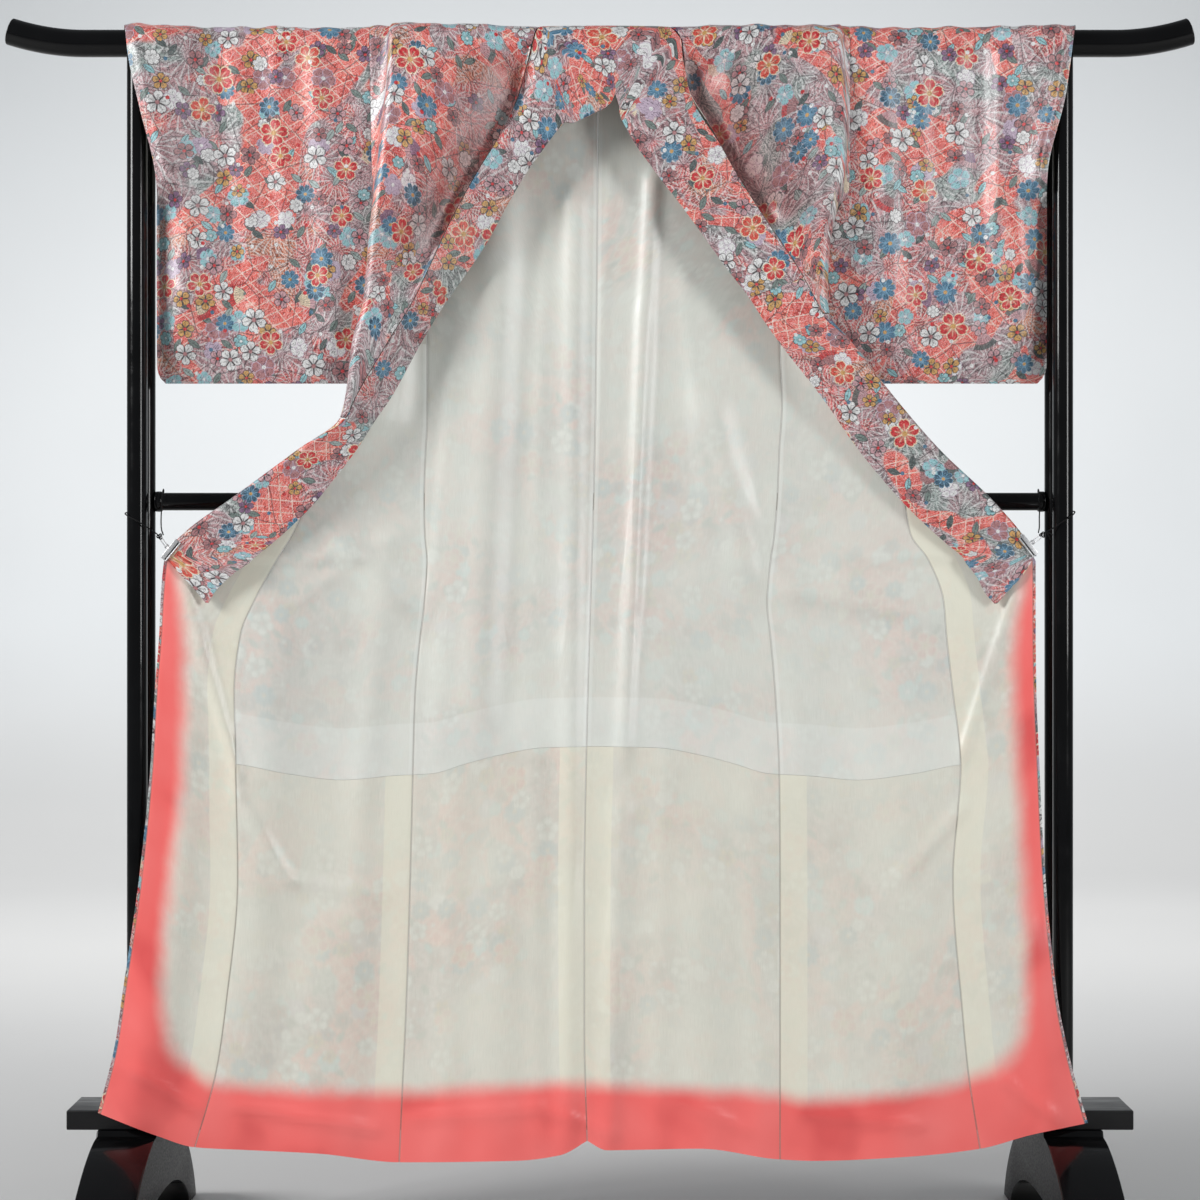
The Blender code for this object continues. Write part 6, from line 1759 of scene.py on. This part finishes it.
def make_top_rail(material):
    """Rail with ends that sweep up a little, rounded at their edges."""
    sweep = RAIL_HALF_LENGTH - RAIL_STRAIGHT
    centre = [(RAIL_STRAIGHT + sweep * t, RAIL_Z + RAIL_END_RISE * t * t, 2 * RAIL_END_RISE * t / sweep)
              for t in np.linspace(0.0, 1.0, 41).tolist()]
    line = [(-x, z, -slope) for x, z, slope in reversed(centre)] + centre
    end = rounded_end(RAIL_RADIUS, 0.0, RAIL_END_ROUND, 1.0)
    profiles = [[(radius, -shift) for radius, shift in reversed(end)]]
    profiles += [[(RAIL_RADIUS, 0.0)]] * (len(line) - 2) + [end]
    rings = []
    for (x, z, slope), profile in zip(line, profiles):
        along_x, along_z = math.cos(math.atan(slope)), math.sin(math.atan(slope))
        for radius, shift in profile:
            rings.append([(x - radius * up * along_z + shift * along_x, radius * aside,
                           z + radius * up * along_x + shift * along_z) for aside, up in turns(64)])
    ride(mesh_piece("top_rail_lacquer", rings_form(rings)[0], material), "top_rail")


def make_posts(material):
    base = BEAM_TOP + SEAM
    post = [(POST_RADIUS - 0.001, base), (POST_RADIUS, base + 0.001)]
    for k in range(13):
        a = math.pi / 2 * (1 - k / 12)
        post.append((max(0.0004, POST_RADIUS * math.sin(a)), POST_TOP - POST_DOME * (1 - math.cos(a))))
    saddle = rounded_end(SADDLE_RADIUS, -RAIL_RADIUS, TURNED_EDGE, -1.0)[::-1]
    saddle += rounded_end(SADDLE_RADIUS, RAIL_RADIUS, TURNED_EDGE, 1.0)
    height = RAIL_Z - RAIL_RADIUS - SEAM - SADDLE_RADIUS
    for side, out in OUT.items():
        for place, y in (("front", -POST_Y), ("rear", POST_Y)):
            name = f"post_{place}_{side}"
            ride(lathe(name + "_lacquer", post, material, (out * POST_X, y, 0.0)), name)
        ride(lathe(f"saddle_{side}_lacquer", saddle, material, (out * POST_X, 0.0, height), "Y", 32),
             "saddle_" + side)


def make_mid_rail(material):
    """Rail between the rear posts, with a turned collar at each end."""
    half = POST_X - POST_RADIUS - MID_RAIL_GAP
    inner = half - MID_RAIL_COLLAR_LENGTH
    profile = rounded_end(MID_RAIL_COLLAR, half, TURNED_EDGE, 1.0)[::-1]
    profile += [(MID_RAIL_COLLAR, inner + 0.0015), (MID_RAIL_COLLAR - 0.0005, inner + 0.0004),
                (MID_RAIL_RADIUS + 0.0005, inner - 0.0005), (MID_RAIL_RADIUS, inner - 0.0015)]
    profile += [(radius, -height) for radius, height in reversed(profile)]
    ride(lathe("mid_rail_lacquer", profile, material, (0.0, POST_Y, MID_RAIL_Z), "X"), "mid_rail")


def make_beam(material):
    """Board with rounded edges that lies on the two feet."""
    form = bmesh.new()
    bmesh.ops.create_cube(form, size=1.0)
    for point in form.verts:
        x, y, z = point.co
        point.co = (2 * BEAM_HALF_LENGTH * x, 2 * BEAM_HALF_DEPTH * y,
                    (BEAM_TOP + BEAM_BOTTOM) / 2 + (BEAM_TOP - BEAM_BOTTOM) * z)
    bevelled(form, form.edges[:], BEAM_ROUNDING, 4)
    ride(mesh_piece("base_beam_paint", form, material), "base_beam")


def make_feet(material, cheek):
    """Arched boards with softened edges that carry the beam and stand on pads at front and back."""
    half = [*FOOT_TOP[:2], *through(FOOT_TOP[2:], 4), *through(FOOT_UNDER, 4)]
    outline = half + [(-y, z) for y, z in reversed(half[1:-1])]
    for side, out in OUT.items():
        xs = (out * FOOT_X - FOOT_WIDTH / 2, out * FOOT_X + FOOT_WIDTH / 2)
        form, caps = rings_form([[(x, y, z) for y, z in outline] for x in xs])
        bevelled(form, [edge for cap in caps for edge in cap.edges], FOOT_ROUNDING, 4)
        for face in form.faces:
            face.material_index = int(abs(face.normal.x) > 0.9)
        name = "foot_" + side
        item = mesh_piece(name + "_lacquer", form, material, 35.0)
        item.data.materials.append(cheek)
        ride(item, name)


# Clips and cords
def edge_frame(side):
    """Place and directions of the collar's outer edge at the clip: point, along the edge, inwards."""
    z = CLIP_CENTRE[side]
    places = []
    for level in (z - CLIP_SPAN, z + CLIP_SPAN, z):
        point = (*several("front_" + side, "fold fold_y", level), level)
        places.append(seen_from_front(side, np.array(point)))
    run = Vector(places[1] - places[0]).normalized()
    inwards = run.cross(Vector((0.0, 1.0, 0.0))) * OUT[side]
    if inwards.x * OUT[side] > 0:
        inwards.negate()
    return Vector(places[2]), run, inwards


def bar(name, centre, axes, outline, half_length, material, edge):
    """Straight bar with a rounded outline: axes are along it, across it and through it."""
    run, across, through_bar = axes
    rings = [[centre + run * end + across * a + through_bar * b for a, b in outline]
             for end in (-half_length, half_length)]
    form, _ = rings_form(rings)
    return mesh_piece(name, bevelled(form, form.edges[:], edge, 3), material)


def make_clips(metal, groove):
    for side in OUT:
        centre, run, inwards = edge_frame(side)
        spine = COLLAR_HALF + SEAM + CLIP_SLACK
        hold = float(read("front_" + side, "roll", CLIP_CENTRE[side])) + spine
        axes = (run, -inwards, Vector((0.0, 1.0, 0.0)))
        jaw = ((-CLIP_REACH, hold), (-CLIP_REACH, hold + CLIP_WALL), (spine + CLIP_WALL, hold + CLIP_WALL))
        outline = ((-CLIP_REACH, -hold), (spine, -hold), (spine, hold), *jaw,
                   (spine + CLIP_WALL, -hold - CLIP_WALL), (-CLIP_REACH, -hold - CLIP_WALL))
        name = "clip_" + side
        ride(bar(name + "_metal", centre, axes, outline, CLIP_LENGTH / 2, metal, CLIP_EDGE), name)
        sunk = CLIP_SUNK - hold - CLIP_WALL
        # The groove strip is painted shade, the lip is bright metal
        for part, material, shape in (("groove", groove, CLIP_GROOVE), ("lip", metal, CLIP_LIP)):
            low, high, proud, short, edge = shape
            face = -hold - CLIP_WALL - proud
            ride(bar(f"{name}_{part}", centre, axes, ((low, face), (high, face), (high, sunk), (low, sunk)),
                     CLIP_LENGTH / 2 - short, material, edge))
        place = centre - inwards * (spine + CLIP_WALL + SEAM + RING_RADIUS + RING_WIRE)
        ring_line = [place + Vector((RING_RADIUS * x, 0.0, RING_RADIUS * z)) for x, z in turns(40)]
        ride(wire("ring_" + side + "_metal", ring_line, RING_WIRE, metal, True), "ring_" + side)
        shank = [centre - inwards * (spine + CLIP_WALL * 0.5), place + inwards * (RING_RADIUS * 0.9)]
        ride(wire(name + "_shank", shank, SHANK_WIRE, metal))
        ride(wire(name + "_link", link_line(place, tied_at(side)), LINK_WIRE, metal, True))


def tied_at(side):
    """Middle of the cord's knot."""
    x, y, z = CORD_ROUTE[side][0]
    return Vector((OUT[side] * x, y - KNOT_FORWARD, z))


def link_line(ring, knot):
    """Long link through the clip's ring and the cord's knot."""
    run = knot - ring
    reach = run.length / 2 + RING_WIRE + LINK_WIRE
    aside = Vector((0.0, 1.0, 0.0)).cross(run).normalized() * 0.8 + Vector((0.0, -0.6, 0.0))
    return [(ring + knot) / 2 + run.normalized() * (reach * c) + aside * (LINK_HALF_WIDTH * s)
            for c, s in turns(40)]


def wire(name, line, radius, material, closed=False):
    """Round wire along a line, or in a closed loop."""
    curve = bpy.data.curves.new(name, "CURVE")
    curve.dimensions = "3D"
    curve.bevel_depth = radius
    curve.bevel_resolution = 5
    curve.use_fill_caps = True
    spline = curve.splines.new("POLY")
    spline.points.add(len(line) - 1)
    for point, place in zip(spline.points, line):
        point.co = (*place, 1.0)
    spline.use_smooth = True
    spline.use_cyclic_u = closed
    curve.materials.append(material)
    return linked(name, curve)


def smooth_route(points, step):
    """Points at even steps along a smooth curve through a route's own points."""
    fine = np.array(through(points, 12))
    length = lengths(fine)
    places = np.linspace(0.0, length[-1], int(length[-1] / step) + 1)
    return np.column_stack([np.interp(places, length, fine[:, k]) for k in range(3)])


def knot_line(centre, size, tilt):
    """Overhand knot round a place."""
    line = []
    ca, sa = math.cos(tilt), math.sin(tilt)
    for k in range(60):
        t = 2 * math.pi * k / 60
        x = math.sin(t) + 2 * math.sin(2 * t)
        z = math.cos(t) - 2 * math.cos(2 * t)
        line.append(centre + Vector((x * ca - z * sa, -math.sin(3 * t), x * sa + z * ca)) * size)
    return line


def make_cords(material):
    for side, out in OUT.items():
        name = "cord_" + side
        line = smooth_route([(out * x, y, z) for x, y, z in CORD_ROUTE[side]], CORD_STEP)
        item = ride(wire(name + "_twist", line, CORD_RADIUS, material), name)
        knot = knot_line(tied_at(side), KNOT_SIZE, KNOT_TILT)
        extra = [ride(wire(name + "_knot", knot, CORD_RADIUS, material, True))]
        for number, (dx, dz) in enumerate(KNOT_TAILS[side]):
            tail = line[1] + np.array(((0.0, 0.0, 0.0), (dx * 0.5, -0.002, dz * 0.35), (dx, -0.003, dz)))
            tail = smooth_route(tail, TAIL_STEP)
            extra.append(ride(wire(f"{name}_tail_{number + 1}", tail, TAIL_RADIUS, material)))


# Floor, backdrop and light
def make_stage():
    """Pale floor that turns up into a pale wall far behind, with painted shade: darker low down near the
    floor and high up on the wall.
    """
    p = Surface("pale backdrop")
    cloud = p.noise(p.place(), 0.8, 2.0)
    colour = cloud.ramp([(0.3, STAGE_COLOUR), (0.7, STAGE_LIGHT)])
    height = p.split(p.place())[2]
    # Painted shade: darker high up on the wall and low down near the floor
    colour = p.multiply(height.step(1.6, 3.6), colour, WALL_SHADE)
    colour = p.multiply(height.step(0.0, 0.9, 1.0, 0.0), colour, FLOOR_SHADE)
    material = p.finish(colour, cloud.step(0.3, 0.7, 0.55, 0.65))
    profile = [(STAGE_FRONT, 0.0), (STAGE_DEPTH - STAGE_BEND, 0.0)]
    for k in range(1, 17):
        a = math.pi / 2 * k / 16
        profile.append((STAGE_DEPTH - STAGE_BEND + STAGE_BEND * math.sin(a), STAGE_BEND * (1 - math.cos(a))))
    profile.append((STAGE_DEPTH, 7.0))
    form = bmesh.new()
    ends = [[form.verts.new((x, y, z)) for y, z in profile] for x in (-STAGE_HALF_WIDTH, STAGE_HALF_WIDTH)]
    for k in range(len(profile) - 1):
        form.faces.new((ends[0][k], ends[1][k], ends[1][k + 1], ends[0][k + 1]))
    mesh_piece("floor_and_backdrop", form, material)
    world = bpy.data.worlds.new("studio")
    world.use_nodes = True
    background = world.node_tree.nodes["Background"]
    background.inputs["Color"].default_value = (*WORLD_COLOUR, 1.0)
    background.inputs["Strength"].default_value = WORLD_STRENGTH
    bpy.context.scene.world = world


def make_lights():
    for name, place, target, size, power in LIGHTS:
        data = bpy.data.lights.new(name, "AREA")
        data.shape = "RECTANGLE"
        data.size, data.size_y = size
        data.energy = power
        lamp = linked(name, data)
        lamp.location = place
        lamp.rotation_euler = (Vector(target) - Vector(place)).to_track_quat("-Z", "Y").to_euler()


# The camera and the cords come first
make_camera()
make_cords(twisted_cord())
make_stage()
make_lights()

komon = print_group()
outside = komon_silk(komon)
white_lining = lining_silk("white lining", komon, WHITE_SILK, "band")
cream_lining = lining_silk("cream lining", komon, CREAM_SILK, "dye")
sleeve_lining = lining_silk("sleeve lining", komon, WHITE_SILK)
for name_of_side in OUT:
    make_body(name_of_side, outside, sleeve_lining)
    make_okumi(name_of_side, outside)
    make_sleeve(name_of_side, outside, sleeve_lining)
    make_linings(name_of_side, white_lining, cream_lining)
make_collar(outside)

lacquer = black_lacquer()
make_top_rail(lacquer)
make_posts(lacquer)
make_mid_rail(lacquer)
make_beam(black_paint())
make_feet(lacquer, black_paint("black cheek", 0.08))
make_clips(bright_metal(), painted_groove_shade())
